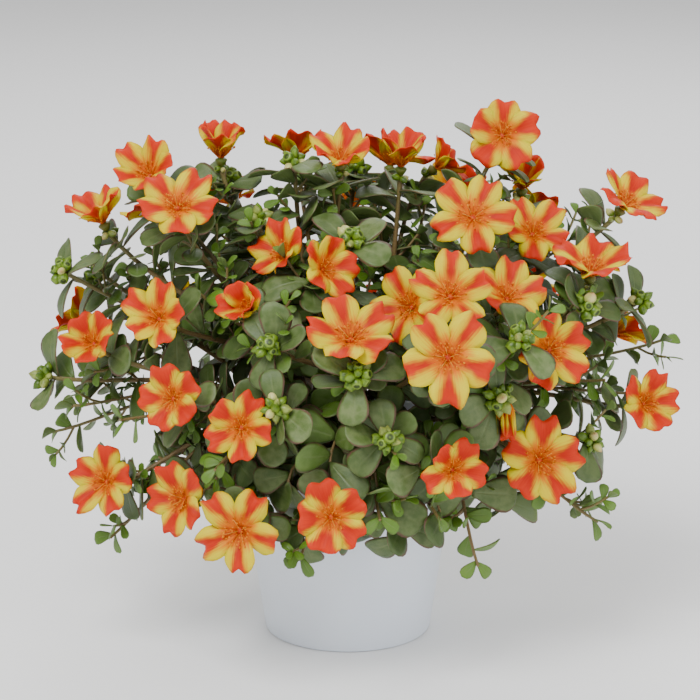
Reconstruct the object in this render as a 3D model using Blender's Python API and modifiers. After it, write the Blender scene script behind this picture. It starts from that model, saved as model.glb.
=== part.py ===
"""A large-flowered portulaca in a round white pot, as solids.

Metres, +Z up. The origin is the middle of the pot's flat base, and -Y faces the viewer. Each leafy
branch is one grown piece: a main stem, its side shoots, their leaves and their bud clusters.
"""

import math
import random

import bmesh
import bpy
from mathutils import Matrix, Vector
from mathutils.bvhtree import BVHTree

MM = 0.001
GAP = 0.3 * MM

# The pot
POT_HEIGHT = 118 * MM
RIM_RADIUS = 66 * MM
BASE_RADIUS = 47.5 * MM
WALL = 2.2 * MM
FLOOR = 3.0 * MM
LIP_DEPTH = 7.0 * MM
LIP_PROUD = 1.3 * MM
FOOT_BEVEL = 2.0 * MM
POT_SIDES = 32
DRAIN_COUNT = 5
DRAIN_RADIUS = 4.0 * MM
DRAIN_CIRCLE = 29 * MM

# The soil and the stems' holes in it
SOIL_LEVEL = 106 * MM
SOIL_MOUND = 4 * MM
HOLE_DEPTH = 16 * MM
HOLE_SIDES = 8

# Stems
MAIN_RADIUS = 2.3 * MM
MAIN_SIDES = 6
SHOOT_RADIUS = 1.7 * MM
TWIG_RADIUS = 1.3 * MM
SHOOT_SIDES = 3
SHOOT_STEP = 26 * MM
MAIN_STEPS = 4
FORK_HEIGHT = POT_HEIGHT + 18 * MM
FORK_SHARE = 0.36
LOWEST_SHOOT = 0.46

# Flowers and buds
PETALS = 5
PETAL_LENGTH = 1.16
FLOWER_NECK = 6.5 * MM
PETAL_THICKNESS = 1.2 * MM
STAMEN_HEIGHT = 5.5 * MM
BUD_LENGTH = 8.5 * MM
BUD_RADIUS = 2.9 * MM
CLUSTER_SPIN = 40

# Leaves: sizes are in mm, shares are of the shoot's length
LEAF_THICKNESS = 2.2 * MM
LEAF_ROOT = 0.8 * MM
LEAF_KEEL = 0.56
CLEARANCE = 0.8 * MM
WHORL = 3
WHORL_STEP = 2.2 * MM
WHORL_SIZE = (23, 30)
WHORL_BELOW = {"bloom": 9 * MM, "buds": 6 * MM}
WAY_SHARE = 0.66
WAY_SIZE = {"bloom": (20, 27), "buds": (20, 27), "tip": (13, 19)}

# Where the picture was taken from: its picture places are turned into real places with this view
VIEW_DISTANCE = 1.5
VIEW_ELEVATION = math.radians(15)
VIEW_FOCAL = 2655.0
VIEW_CENTRE = (350.0, 350.0)
VIEW_AIM = Vector((1.33 * MM, 0, 163.6 * MM))

# Main branches: which way each one leans (turn from the viewer towards +X, and rise above level)
BRANCHES = [
    ("branch_01", 8, 14),
    ("branch_02", 52, 14),
    ("branch_03", 98, 16),
    ("branch_04", 146, 14),
    ("branch_05", 198, 14),
    ("branch_06", 250, 16),
    ("branch_07", 308, 14),
    ("branch_08", 20, 58),
    ("branch_09", 110, 60),
    ("branch_10", 205, 60),
    ("branch_11", 292, 60),
]
CROWN_REACH = {True: 27 * MM, False: 11 * MM}
LOW_RISE = 40

# Heads in the picture: picture place u, v; depth behind the pot's axis in mm (negative is nearer);
# facing as a turn from the viewer towards +X and a tilt from upright; width in mm; how shut the
# cup is, 0 to 1; spin about its own axis.
SEEN_BLOOMS = [
    (221, 157, 30, 0, 8, 40, 0.75, 10),
    (151, 177, -4, -20, 48, 42, 0.45, 40),
    (178, 210, -40, 0, 42, 44, 0.20, 20),
    (103, 222, -20, -60, 26, 40, 0.55, 0),
    (341, 163, 0, 0, 32, 40, 0.50, 36),
    (401, 166, 6, 20, 10, 40, 0.70, 0),
    (436, 168, 34, 90, 55, 34, 0.50, 20),
    (502, 136, -4, 0, 70, 39, 0.25, 50),
    (522, 188, 30, 15, 22, 38, 0.70, 15),
    (473, 219, -48, -5, 52, 45, 0.15, 30),
    (532, 236, -16, 10, 46, 41, 0.35, 5),
    (622, 208, 0, 60, 36, 44, 0.35, 60),
    (590, 275, -42, 10, 14, 46, 0.30, 25),
    (287, 256, -40, -45, 56, 38, 0.40, 0),
    (321, 270, -66, 40, 66, 38, 0.35, 30),
    (250, 310, -76, -28, 58, 34, 0.70, 15),
    (160, 320, -62, -15, 60, 40, 0.40, 45),
    (95, 345, -30, -20, 52, 37, 0.50, 25),
    (351, 342, -112, 0, 36, 48, 0.20, 0),
    (413, 308, -72, -35, 66, 42, 0.25, 20),
    (450, 298, -98, 5, 52, 44, 0.20, 50),
    (506, 300, -66, 15, 42, 41, 0.30, 35),
    (448, 358, -134, 0, 72, 45, 0.10, 18),
    (548, 350, -84, 20, 76, 42, 0.20, 60),
    (642, 404, -24, 32, 66, 38, 0.35, 30),
    (174, 399, -82, -15, 70, 36, 0.25, 0),
    (242, 428, -106, -10, 72, 38, 0.25, 30),
    (108, 482, -48, -28, 68, 40, 0.25, 55),
    (186, 499, -84, -38, 78, 40, 0.30, 10),
    (241, 530, -112, -15, 82, 44, 0.15, 25),
    (331, 517, -118, 0, 78, 39, 0.20, 0),
    (452, 470, -118, 10, 76, 36, 0.35, 22),
    (538, 460, -84, 15, 78, 44, 0.15, 44),
    (504, 400, -96, 10, 158, 38, 1.25, 0),
]
SEEN_BUDS = [
    (60, 270, -12, -65, 60),
    (258, 216, -18, 0, 20),
    (294, 158, 4, 5, 15),
    (349, 238, -52, 0, 35),
    (268, 346, -104, 0, 62),
    (276, 409, -116, 10, 70),
    (357, 374, -128, 0, 55),
    (388, 440, -124, 5, 70),
    (520, 338, -104, -10, 60),
    (500, 398, -104, 0, 70),
    (588, 303, -52, 25, 50),
    (642, 300, -24, 60, 48),
    (594, 440, -52, 45, 75),
    (43, 376, -10, -75, 70),
]
SEEN_TIPS = [
    (380, 214, 8, 10, 30),
    (427, 196, 20, 25, 25),
    (196, 290, -50, -30, 50),
    (128, 268, 14, -55, 45),
    (668, 338, 0, 80, 62),
    (605, 380, -34, 55, 80),
    (110, 538, -40, -40, 110),
    (52, 432, 6, -80, 95),
    (598, 522, -66, 48, 100),
    (478, 566, -98, 20, 120),
    (440, 520, -112, 10, 95),
    (380, 520, -118, 5, 95),
    (300, 560, -92, -8, 125),
    (120, 420, -62, -40, 85),
    (215, 470, -104, -15, 90),
    (575, 235, 24, 50, 40),
]

# Heads on the far side: turn from the viewer towards +X, and rise above level on the mound
FAR_BLOOMS = [
    (108, 4), (138, 12), (166, 2), (194, 14), (222, 3), (252, 12),
    (122, 38), (152, 40), (182, 36), (212, 42), (240, 38),
    (164, 60), (212, 66),
]
FAR_BUDS = [(96, 24), (152, 22), (208, 26), (264, 26), (176, 60), (236, 58)]
FAR_TIPS = [(130, -12), (172, -10), (214, -14), (84, -6), (276, -12), (168, 22)]
MOUND_CENTRE = Vector((0, 0, 150 * MM))
MOUND_RADII = Vector((160 * MM, 152 * MM, 122 * MM))
MOUND_SKIRT = 92 * MM


def facing(turn, tilt):
    """The unit vector that is turned from the viewer towards +X and tilted from upright."""
    t, a = math.radians(tilt), math.radians(turn)
    return Vector((math.sin(t) * math.sin(a), -math.sin(t) * math.cos(a), math.cos(t)))


def seen_at(u, v, depth):
    """The point at picture place u, v that lies this deep behind the pot's axis."""
    back = Vector((0, -math.cos(VIEW_ELEVATION), math.sin(VIEW_ELEVATION)))
    eye = VIEW_AIM + back * VIEW_DISTANCE
    up = Vector((0, math.sin(VIEW_ELEVATION), math.cos(VIEW_ELEVATION)))
    right = Vector((1, 0, 0))
    ray = right * ((u - VIEW_CENTRE[0]) / VIEW_FOCAL) - up * ((v - VIEW_CENTRE[1]) / VIEW_FOCAL) - back
    return eye + ray * ((depth - eye.y) / ray.y)


def on_mound(turn, rise):
    """A point on the leafy mound's surface."""
    d = facing(turn, 90 - rise)
    radii = MOUND_RADII if d.z > 0 else Vector((MOUND_RADII.x, MOUND_RADII.y, MOUND_SKIRT))
    return MOUND_CENTRE + Vector((d.x * radii.x, d.y * radii.y, d.z * radii.z))


def heads():
    """Every shoot's end: its name, kind, place, facing, width, cup and spin."""
    found = []
    for i, (u, v, depth, turn, tilt, width, cup, spin) in enumerate(SEEN_BLOOMS):
        place = seen_at(u, v, depth * MM)
        found.append((f"bloom_{i + 1:02d}", "bloom", place, facing(turn, tilt), width * MM, cup, spin))
    for kind, rows in (("buds", SEEN_BUDS), ("tip", SEEN_TIPS)):
        for i, (u, v, depth, turn, tilt) in enumerate(rows):
            place = seen_at(u, v, depth * MM)
            found.append((f"{kind}_{i + 1:02d}", kind, place, facing(turn, tilt), 0, 0, i * CLUSTER_SPIN))
    far = [
        ("bloom", FAR_BLOOMS, len(SEEN_BLOOMS)),
        ("buds", FAR_BUDS, len(SEEN_BUDS)),
        ("tip", FAR_TIPS, len(SEEN_TIPS)),
    ]
    for kind, rows, first in far:
        for i, (turn, rise) in enumerate(rows):
            rng = random.Random(f"far {kind} {i}")
            aim = (turn + rng.uniform(-4, 4), rise + rng.uniform(-3, 3))
            tilt = 62 - 0.62 * rise + rng.uniform(-8, 8)
            if kind == "tip":
                tilt += 18
            name = f"{kind}_{first + i + 1:02d}"
            width = rng.uniform(38, 44) * MM if kind == "bloom" else 0
            look = facing(turn + rng.uniform(-12, 12), tilt)
            cup, spin = rng.uniform(0.15, 0.5), rng.uniform(0, 72)
            found.append((name, kind, on_mound(*aim), look, width, cup, spin))
    return found


def branch_lean(row):
    return facing(row[1], 90 - row[2])


def crown_place(row):
    """Where a branch leaves the soil."""
    level = Vector((0, 0, SOIL_LEVEL))
    flat = facing(row[1], 90)
    return level + flat * CROWN_REACH[row[2] < LOW_RISE]


def branch_of(place):
    """The branch that leans closest to a head's place."""
    out = (place - Vector((0, 0, SOIL_LEVEL))).normalized()
    return max(BRANCHES, key=lambda row: out.dot(branch_lean(row)))


def hermite(p0, m0, p1, m1, s):
    a, b, c = s * s * (2 * s - 3) + 1, s * (s - 1) ** 2, s * s * (3 - 2 * s)
    return p0 * a + m0 * b + p1 * c + m1 * (s * s * (s - 1))


def main_path(row, ends):
    """A main stem's fork: it leans towards the middle of its shoots' ends, clear of the pot's rim."""
    crown = crown_place(row)
    middle = sum(ends, Vector()) / len(ends)
    fork = crown.lerp(middle, FORK_SHARE)
    fork.z = max(fork.z, FORK_HEIGHT)
    rise = Vector((0, 0, 1)) * (fork - crown).length
    lean = (middle - crown).normalized() * (fork - crown).length
    return crown, rise, fork, lean


def along_path(points, share):
    """The place at this share of a path's steps, and the way the path runs there."""
    at = min(max(share, 0), 0.9999) * (len(points) - 1)
    step = int(at)
    one, other = points[step], points[step + 1]
    return one.lerp(other, at - step), (other - one).normalized()


def path_length(points):
    return sum((b - a).length for a, b in zip(points, points[1:]))


def main_points(row, ends):
    crown, rise, fork, lean = main_path(row, ends)
    root = crown - Vector((0, 0, HOLE_DEPTH - 2 * GAP))
    risen = crown + Vector((0, 0, SOIL_MOUND + 2 * MM))
    bend = [hermite(risen, rise, fork, lean, i / MAIN_STEPS) for i in range(MAIN_STEPS + 1)]
    return [root] + bend


def shoot_points(main, share, head):
    """A shoot's path: it leaves the main stem at this share of its length and ends square to its head."""
    name, kind, place, look = head[:4]
    start = along_path(main, share)[0]
    end = place - look * (FLOWER_NECK + GAP) if kind == "bloom" else place
    reach = (end - start).length
    out = (end - start).normalized()
    leave = (out * 0.75 + Vector((0, 0, 0.35))).normalized() * reach
    arrive = (look * 0.7 + out * 0.5).normalized() * reach * 0.9
    steps = max(3, round(reach / SHOOT_STEP))
    return [hermite(start, leave, end, arrive, i / steps) for i in range(steps + 1)]


def leaf_slots(head, length):
    """The leaves of one shoot: place along it, turn round it, size, and how the blade is bent."""
    name, kind = head[:2]
    rng = random.Random("leaves " + name)
    first = rng.uniform(0, 360)
    if kind == "tip":
        slots = [(0.97, first, rng.uniform(12, 15), 0.58, 38)]
        slots.append((0.96, first + 180, rng.uniform(11, 15), 0.58, 44))
    else:
        slots = []
        for i in range(WHORL):
            share = 1 - (WHORL_BELOW[kind] + i * WHORL_STEP) / length
            turn = first + i * 360 / WHORL + rng.uniform(-18, 18)
            size = rng.uniform(*WHORL_SIZE)
            slots.append((share, turn, size, rng.uniform(0.60, 0.74), rng.uniform(58, 84)))
    turn = first + 60 + rng.uniform(-15, 15)
    size = rng.uniform(*WAY_SIZE[kind])
    share = WAY_SHARE + rng.uniform(-0.03, 0.03)
    slots.append((share, turn, size, rng.uniform(0.54, 0.68), rng.uniform(48, 72)))
    bent = []
    for share, turn, size, ratio, spread in slots:
        droop, fold, twist = rng.uniform(0.1, 0.9), rng.uniform(0.08, 0.3), rng.uniform(-0.5, 0.5)
        bent.append((share, turn, size * MM, ratio, spread, droop, fold, twist))
    return bent


# A leaf that would cross another piece is turned round its stem, or raised, by the first of these
# steps that sets it free: degrees round the stem, and degrees added to its spread. Other pieces are
# kept clear of a leaf this much longer and wider, its own branch only of the blade past its stalk.
SIDESTEPS = [
    (0, 0), (28, 0), (-28, 0), (12, -24), (-14, -24),
    (56, -8), (-56, -8), (0, 22), (90, -10), (180, -10),
]
WIDER = (1.03, 1.08)
BLADE_START = 0.3


def leaf_frame(at, along, step, turn, spread):
    """The axes of a leaf on a stem: x runs out along the blade, z is its upper side."""
    side = along.cross(Vector((0, 0, 1)) if abs(along.z) < 0.9 else Vector((0, 1, 0))).normalized()
    out = Matrix.Rotation(math.radians(turn + step[0]), 3, along) @ side
    lean = math.radians(spread + step[1])
    x = (along * math.cos(lean) + out * math.sin(lean)).normalized()
    light = Vector((0, 0, 0.7)) + facing(0, 90) * 0.1 + Vector((at.x, at.y, 0)).normalized() * 0.5
    upper = along * 0.8 + light
    z = (upper - x * upper.dot(x)).normalized()
    y = z.cross(x)
    return Matrix((x, y, z)).transposed()


def blade_point(s, t, size, ratio, droop, fold, twist):
    """A point of a spoon-shaped blade: s runs from root to tip, t across from -1 to 1."""
    half = 0.5 * size * ratio * 1.5 * (s + 0.015) ** 0.9 * math.sqrt(max(0.0, 1 - s ** 4))
    bend = max(droop, 1e-3)
    x = size * math.sin(bend * s) / bend
    z = -size * (1 - math.cos(bend * s)) / bend
    y = t * half
    rise = fold * abs(t) * half
    c, d = math.cos(twist * s), math.sin(twist * s)
    return Vector((x, y * c - rise * d, z + y * d + rise * c))


RIM_PLACES = [(0, 0), (0.48, -1), (0.86, -1), (1, 0), (0.86, 1), (0.48, 1)]


def leaf_mesh(at, axes, size, ratio, droop, fold, twist, thickness=LEAF_THICKNESS, start=0.0):
    """A plump blade: a six-sided cone, its rim drawn out to the outline and its point a keel below."""
    sides = len(RIM_PLACES)
    from_x = Matrix.Rotation(-math.pi / 2, 4, "Z")
    bm = bmesh.new()
    bmesh.ops.create_cone(bm, cap_ends=True, segments=sides, radius1=0, radius2=1, depth=1, matrix=from_x)
    rim = {}
    for vert in bm.verts:
        if math.hypot(vert.co.x, vert.co.y) < 0.5:
            keel = blade_point(LEAF_KEEL, 0, size, ratio, droop, fold, twist) - Vector((0, 0, thickness))
            vert.co = at + axes @ keel
            continue
        slot = round(math.atan2(vert.co.y, vert.co.x) / (2 * math.pi) * sides) % sides
        s, t = RIM_PLACES[slot]
        vert.co = at + axes @ blade_point(start + (1 - start) * s, t, size, ratio, droop, fold, twist)
        if s == 0 and start == 0:
            vert.co -= axes.col[0] * LEAF_ROOT
        rim[slot] = vert
    for one, other in ((1, 5), (2, 4), (1, 4)):
        bmesh.ops.connect_verts(bm, verts=[rim[one], rim[other]])
    return bm


def petal_height(q, cup):
    """How far out and up a petal's middle line is at share q of its length, for a unit petal."""
    rise0, rise1 = math.radians(30 + 42 * cup), math.radians(-6 + 66 * cup)
    steps = 8
    out = up = 0.0
    for i in range(steps):
        a = rise0 + (rise1 - rise0) * q * (i + 0.5) / steps
        out += math.cos(a) * q / steps
        up += math.sin(a) * q / steps
    return out, up


# One petal's share of the corolla's rim: angle in shares of a petal, and distance out
PETAL_RIM = [(0.0, 0.62), (0.25, 0.97), (0.5, 0.88), (0.75, 0.97)]
PETAL_BASE = 0.33


def bloom_mesh(place, look, width, cup, spin):
    """A corolla of notched petals with a boss of stamens above and a narrow neck below."""
    sides = PETALS * len(PETAL_RIM)
    axes = look.to_track_quat("Z", "Y").to_matrix() @ Matrix.Rotation(math.radians(spin), 3, "Z")
    length = 0.5 * PETAL_LENGTH * width

    def ring(places, lift):
        made = []
        for share, reach in places:
            out, up = petal_height(reach, cup)
            angle = 2 * math.pi * share / PETALS
            local = Vector((math.cos(angle) * out, math.sin(angle) * out, up)) * length
            made.append(bm.verts.new(place + axes @ (local + Vector((0, 0, lift)))))
        return made

    bm = bmesh.new()
    rim = ring([(petal + share, reach) for petal in range(PETALS) for share, reach in PETAL_RIM], 0)
    inner = [(petal + 0.5, PETAL_BASE) for petal in range(PETALS)]
    upper = ring(inner, 0.4 * PETAL_THICKNESS)
    lower = ring(inner, -1.0 * PETAL_THICKNESS)
    boss = bm.verts.new(place + axes @ Vector((0, 0, STAMEN_HEIGHT)))
    neck = bm.verts.new(place + axes @ Vector((0, 0, -FLOWER_NECK)))
    for i, a in enumerate(upper):
        edge = [rim[(4 * i + k) % sides] for k in range(5)]
        b = upper[(i + 1) % PETALS]
        bm.faces.new((boss, a, b))
        bm.faces.new((a, edge[4], b))
        c, d = lower[i], lower[(i + 1) % PETALS]
        bm.faces.new((neck, d, c))
        bm.faces.new((c, d, edge[4]))
        for k in range(4):
            bm.faces.new((a, edge[k], edge[k + 1]))
            bm.faces.new((c, edge[k + 1], edge[k]))
    return bm


def bud_mesh(place, look, length, radius):
    """One pointed bud: a five-sided double cone with its widest place low down."""
    bm = bmesh.new()
    bmesh.ops.create_uvsphere(bm, u_segments=5, v_segments=2, radius=1)
    axes = look.to_track_quat("Z", "Y").to_matrix()
    for vert in bm.verts:
        if vert.co.z > 0.5:
            local = Vector((0, 0, length))
        elif vert.co.z < -0.5:
            local = Vector((0, 0, -1.5 * MM))
        else:
            local = Vector((vert.co.x * radius, vert.co.y * radius, 0.38 * length))
        vert.co = place + axes @ local
    return bm


BUD_SPREAD = [(0, 8, 1.0), (100, 46, 0.95), (240, 50, 0.85)]


def bud_places(place, look, spin):
    """The buds of one cluster: place, direction and scale."""
    side = look.orthogonal().normalized()
    found = []
    for turn, lean, scale in BUD_SPREAD:
        out = Matrix.Rotation(math.radians(turn + spin), 3, look) @ side
        way = look * math.cos(math.radians(lean)) + out * math.sin(math.radians(lean))
        found.append((place - look * 1.0 * MM, way, scale))
    return found


def material(name, colour, roughness):
    made = bpy.data.materials.new(name)
    made.use_nodes = True
    shader = made.node_tree.nodes["Principled BSDF"]
    shader.inputs["Base Color"].default_value = (*colour, 1)
    shader.inputs["Roughness"].default_value = roughness
    shader.inputs["Metallic"].default_value = 0
    return made


def link(name, mesh, collection, finish=None):
    obj = bpy.data.objects.new(name, mesh)
    collection.objects.link(obj)
    if finish:
        obj.data.materials.append(finish)
    return obj


def mesh_of(bm, name):
    mesh = bpy.data.meshes.new(name)
    bm.to_mesh(mesh)
    bm.free()
    return mesh


def tube(name, points, radii, sides, collection):
    """A stem: a poly curve drawn out along a regular outline, with filled caps, made a closed mesh."""
    outline = bpy.data.curves.new(name + "_outline", "CURVE")
    ring = outline.splines.new("POLY")
    ring.points.add(sides - 1)
    for i, node in enumerate(ring.points):
        angle = 2 * math.pi * i / sides
        node.co = (math.cos(angle), math.sin(angle), 0, 1)
    ring.use_cyclic_u = True
    data = bpy.data.curves.new(name, "CURVE")
    data.dimensions = "3D"
    data.bevel_mode = "OBJECT"
    data.bevel_object = link(name + "_outline", outline, collection)
    data.use_fill_caps = True
    spline = data.splines.new("POLY")
    spline.points.add(len(points) - 1)
    for node, point, radius in zip(spline.points, points, radii):
        node.co = (*point, 1)
        node.radius = radius
    guide = link(name + "_line", data, collection)
    bpy.context.view_layer.update()
    evaluated = guide.evaluated_get(bpy.context.evaluated_depsgraph_get())
    mesh = bpy.data.meshes.new_from_object(evaluated)
    bpy.data.objects.remove(data.bevel_object)
    bpy.data.objects.remove(guide)
    bm = bmesh.new()
    bm.from_mesh(mesh)
    bmesh.ops.remove_doubles(bm, verts=bm.verts, dist=0.01 * MM)
    bmesh.ops.recalc_face_normals(bm, faces=bm.faces)
    bm.to_mesh(mesh)
    bm.free()
    mesh.name = name
    return link(name, mesh, collection)


def turned(name, profile, collection, finish):
    """A turned solid: its profile, an outline from the axis to the axis, on a Screw."""
    mesh = bpy.data.meshes.new(name)
    mesh.from_pydata([(r, 0, z) for r, z in profile], [(i, i + 1) for i in range(len(profile) - 1)], [])
    obj = link(name, mesh, collection, finish)
    screw = obj.modifiers.new("turn", "SCREW")
    screw.steps = screw.render_steps = POT_SIDES
    screw.use_merge_vertices = True
    screw.merge_threshold = 0.0001
    return obj


def cylinder(name, radius, low, high, place, sides, collection):
    bm = bmesh.new()
    middle = Matrix.Translation((place.x, place.y, (low + high) / 2))
    bmesh.ops.create_cone(
        bm, cap_ends=True, segments=sides, radius1=radius, radius2=radius, depth=high - low, matrix=middle
    )
    obj = link(name, mesh_of(bm, name), collection)
    obj.hide_render = True
    obj.display_type = "WIRE"
    return obj


def cut(obj, collection):
    boolean = obj.modifiers.new("holes", "BOOLEAN")
    boolean.operation = "DIFFERENCE"
    boolean.operand_type = "COLLECTION"
    boolean.collection = collection
    boolean.solver = "EXACT"


def wall_radius(z):
    """The pot's outer radius at a height."""
    return BASE_RADIUS + (RIM_RADIUS - LIP_PROUD - BASE_RADIUS) * z / POT_HEIGHT


def make_pot(collection, finish, cutters):
    inner = [(0, FLOOR), (wall_radius(FLOOR) - WALL, FLOOR), (wall_radius(POT_HEIGHT) - WALL, POT_HEIGHT)]
    lip_low = POT_HEIGHT - LIP_DEPTH
    outer = [
        (RIM_RADIUS - 0.8 * MM, POT_HEIGHT),
        (RIM_RADIUS, POT_HEIGHT - 0.8 * MM),
        (RIM_RADIUS, lip_low + 1 * MM),
        (wall_radius(lip_low), lip_low),
        (wall_radius(FOOT_BEVEL), FOOT_BEVEL),
        (BASE_RADIUS - FOOT_BEVEL, 0),
        (0, 0),
    ]
    pot = turned("pot", inner + outer, collection, finish)
    for i in range(DRAIN_COUNT):
        place = facing(36 + i * 360 / DRAIN_COUNT, 90) * DRAIN_CIRCLE
        cylinder(f"drain_{i}", DRAIN_RADIUS, -5 * MM, FLOOR + 5 * MM, place, 12, cutters)
    cut(pot, cutters)
    return pot


def make_soil(collection, finish, cutters):
    floor = FLOOR + GAP
    side = [
        (0, SOIL_LEVEL + SOIL_MOUND),
        (38 * MM, SOIL_LEVEL + 0.55 * SOIL_MOUND),
        (wall_radius(SOIL_LEVEL) - WALL - GAP, SOIL_LEVEL),
        (wall_radius(floor) - WALL - GAP, floor),
        (0, floor),
    ]
    soil = turned("soil", side, collection, finish)
    radius = (MAIN_RADIUS + GAP) / math.cos(math.pi / HOLE_SIDES)
    low, high = SOIL_LEVEL - HOLE_DEPTH, SOIL_LEVEL + 3 * SOIL_MOUND
    for row in BRANCHES:
        cylinder("hole_" + row[0], radius, low, high, crown_place(row), HOLE_SIDES, cutters)
    cut(soil, cutters)
    return soil


def shape_tree(mesh):
    """A search tree of a mesh's faces, with its middle and reach for a first quick test."""
    points = [v.co.copy() for v in mesh.vertices]
    middle = sum(points, Vector()) / len(points)
    reach = max((p - middle).length for p in points)
    return BVHTree.FromPolygons(points, [p.vertices[:] for p in mesh.polygons]), middle, reach


def bm_tree(bm):
    points = [v.co.copy() for v in bm.verts]
    middle = sum(points, Vector()) / len(points)
    reach = max((p - middle).length for p in points)
    tree = BVHTree.FromPolygons(points, [[v.index for v in f.verts] for f in bm.faces])
    bm.free()
    return tree, middle, reach


def crosses(one, other):
    near = (one[1] - other[1]).length <= one[2] + other[2]
    return near and bool(one[0].overlap(other[0]))


def unite(main, collection):
    """One Boolean union of everything a branch grows, then its loose shapes are removed."""
    boolean = main.modifiers.new("grown together", "BOOLEAN")
    boolean.operation = "UNION"
    boolean.operand_type = "COLLECTION"
    boolean.collection = collection
    boolean.solver = "MANIFOLD"
    bpy.context.view_layer.update()
    evaluated = main.evaluated_get(bpy.context.evaluated_depsgraph_get())
    mesh = bpy.data.meshes.new_from_object(evaluated)
    main.modifiers.clear()
    main.data = mesh
    for obj in list(collection.objects):
        bpy.data.objects.remove(obj)


def main():
    for obj in list(bpy.data.objects):
        bpy.data.objects.remove(obj)
    scene = bpy.context.scene.collection
    plant = bpy.data.collections.new("portulaca")
    drains = bpy.data.collections.new("drain_cutters")
    holes = bpy.data.collections.new("hole_cutters")
    for group in (plant, drains, holes):
        scene.children.link(group)

    white = material("white_pot", (0.86, 0.88, 0.92), 0.35)
    earth = material("potting_soil", (0.05, 0.035, 0.025), 0.95)
    green = material("leafy_green", (0.12, 0.19, 0.09), 0.5)
    orange = material("petal_orange", (0.95, 0.42, 0.05), 0.5)

    pot = make_pot(plant, white, drains)
    soil = make_soil(plant, earth, holes)
    graph = bpy.context.evaluated_depsgraph_get()
    bpy.context.view_layer.update()
    placed = []
    for obj in (pot, soil):
        placed.append((obj.name, shape_tree(obj.evaluated_get(graph).to_mesh())))

    found = heads()
    by_branch = {row[0]: [] for row in BRANCHES}
    for head in found:
        by_branch[branch_of(head[2])[0]].append(head)
        if head[1] == "bloom":
            name, kind, place, look, width, cup, spin = head
            obj = link(name, mesh_of(bloom_mesh(place, look, width, cup, spin), name), plant, orange)
            placed.append((name, shape_tree(obj.data)))

    growing = {}
    shoots = []
    for row in BRANCHES:
        mine = sorted(by_branch[row[0]], key=lambda head: -head[2].z)
        ends = [head[2] for head in mine]
        points = main_points(row, ends)
        radii = [MAIN_RADIUS] * 3 + [MAIN_RADIUS * 0.85] * (len(points) - 3)
        group = bpy.data.collections.new(row[0] + "_grown")
        scene.children.link(group)
        stem = tube(row[0], points, radii, MAIN_SIDES, plant)
        stem.data.materials.append(green)
        growing[row[0]] = (stem, group)
        placed.append((row[0], shape_tree(stem.data)))
        for k, head in enumerate(mine):
            path = shoot_points(points, 1 - LOWEST_SHOOT * (len(mine) - 1 - k) / len(mine), head)
            thick = TWIG_RADIUS if head[1] == "tip" else SHOOT_RADIUS
            radii = [thick * (1.1 - 0.25 * i / (len(path) - 1)) for i in range(len(path))]
            shoot = tube(head[0] + "_shoot", path, radii, SHOOT_SIDES, group)
            placed.append((row[0], shape_tree(shoot.data)))
            shoots.append((row[0], head, path))
            if head[1] == "buds":
                for n, (at, way, scale) in enumerate(bud_places(head[2], head[3], head[6])):
                    bm = bud_mesh(at, way, BUD_LENGTH * scale, BUD_RADIUS * scale)
                    bud = link(f"{head[0]}_{n}", mesh_of(bm, head[0]), group)
                    placed.append((row[0], shape_tree(bud.data)))

    for i, (a, first) in enumerate(placed):
        for b, second in placed[i + 1:]:
            if a != b and crosses(first, second):
                print("crossing:", a, b)

    queue = []
    for owner, head, path in shoots:
        for order, slot in enumerate(leaf_slots(head, path_length(path))):
            queue.append((order, owner, head, path, slot))
    queue.sort(key=lambda row: (row[0], row[2][0]))
    kept = dropped = 0
    for order, owner, head, path, slot in queue:
        s, turn, size, ratio, spread, droop, fold, twist = slot
        at, along = along_path(path, s)
        for step in SIDESTEPS:
            axes = leaf_frame(at, along, step, turn, spread)
            wide = (size * WIDER[0], ratio * WIDER[1], droop, fold, twist)
            whole = bm_tree(leaf_mesh(at, axes, *wide, thickness=LEAF_THICKNESS + CLEARANCE))
            blade = bm_tree(leaf_mesh(at, axes, size, ratio, droop, fold, twist, start=BLADE_START))
            if not any(crosses(whole if name != owner else blade, tree) for name, tree in placed):
                break
        else:
            dropped += 1
            continue
        kept += 1
        name = f"{head[0]}_leaf_{order}"
        shape = leaf_mesh(at, axes, size, ratio, droop, fold, twist)
        leaf = link(name, mesh_of(shape, name), growing[owner][1])
        placed.append((owner, shape_tree(leaf.data)))
    print("leaves kept", kept, "left out", dropped)

    for name, (stem, group) in growing.items():
        unite(stem, group)
        bpy.data.collections.remove(group)
        print(name, len(by_branch[name]), "shoots", len(stem.data.polygons), "faces")
    for obj in plant.objects:
        if obj.name.startswith(("bloom", "branch")):
            obj.data.shade_smooth()


main()
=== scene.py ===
# %% [markdown]
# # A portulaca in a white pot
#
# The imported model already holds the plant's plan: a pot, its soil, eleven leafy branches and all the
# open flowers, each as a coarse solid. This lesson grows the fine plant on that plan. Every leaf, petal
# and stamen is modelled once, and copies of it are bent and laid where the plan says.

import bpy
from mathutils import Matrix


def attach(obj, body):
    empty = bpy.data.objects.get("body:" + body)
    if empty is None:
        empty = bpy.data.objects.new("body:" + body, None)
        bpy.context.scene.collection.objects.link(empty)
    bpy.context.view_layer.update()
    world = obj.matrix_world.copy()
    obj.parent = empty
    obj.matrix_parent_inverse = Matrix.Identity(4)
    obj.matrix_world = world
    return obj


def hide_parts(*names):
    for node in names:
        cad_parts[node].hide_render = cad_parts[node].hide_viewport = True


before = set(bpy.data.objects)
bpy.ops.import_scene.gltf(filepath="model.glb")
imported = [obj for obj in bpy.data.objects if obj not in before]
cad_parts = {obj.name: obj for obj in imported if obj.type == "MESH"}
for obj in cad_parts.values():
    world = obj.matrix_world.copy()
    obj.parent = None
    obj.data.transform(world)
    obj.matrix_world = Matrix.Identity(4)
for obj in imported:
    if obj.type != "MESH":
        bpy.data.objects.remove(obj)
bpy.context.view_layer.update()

# %% Bring in what the lesson needs
import math
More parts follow.
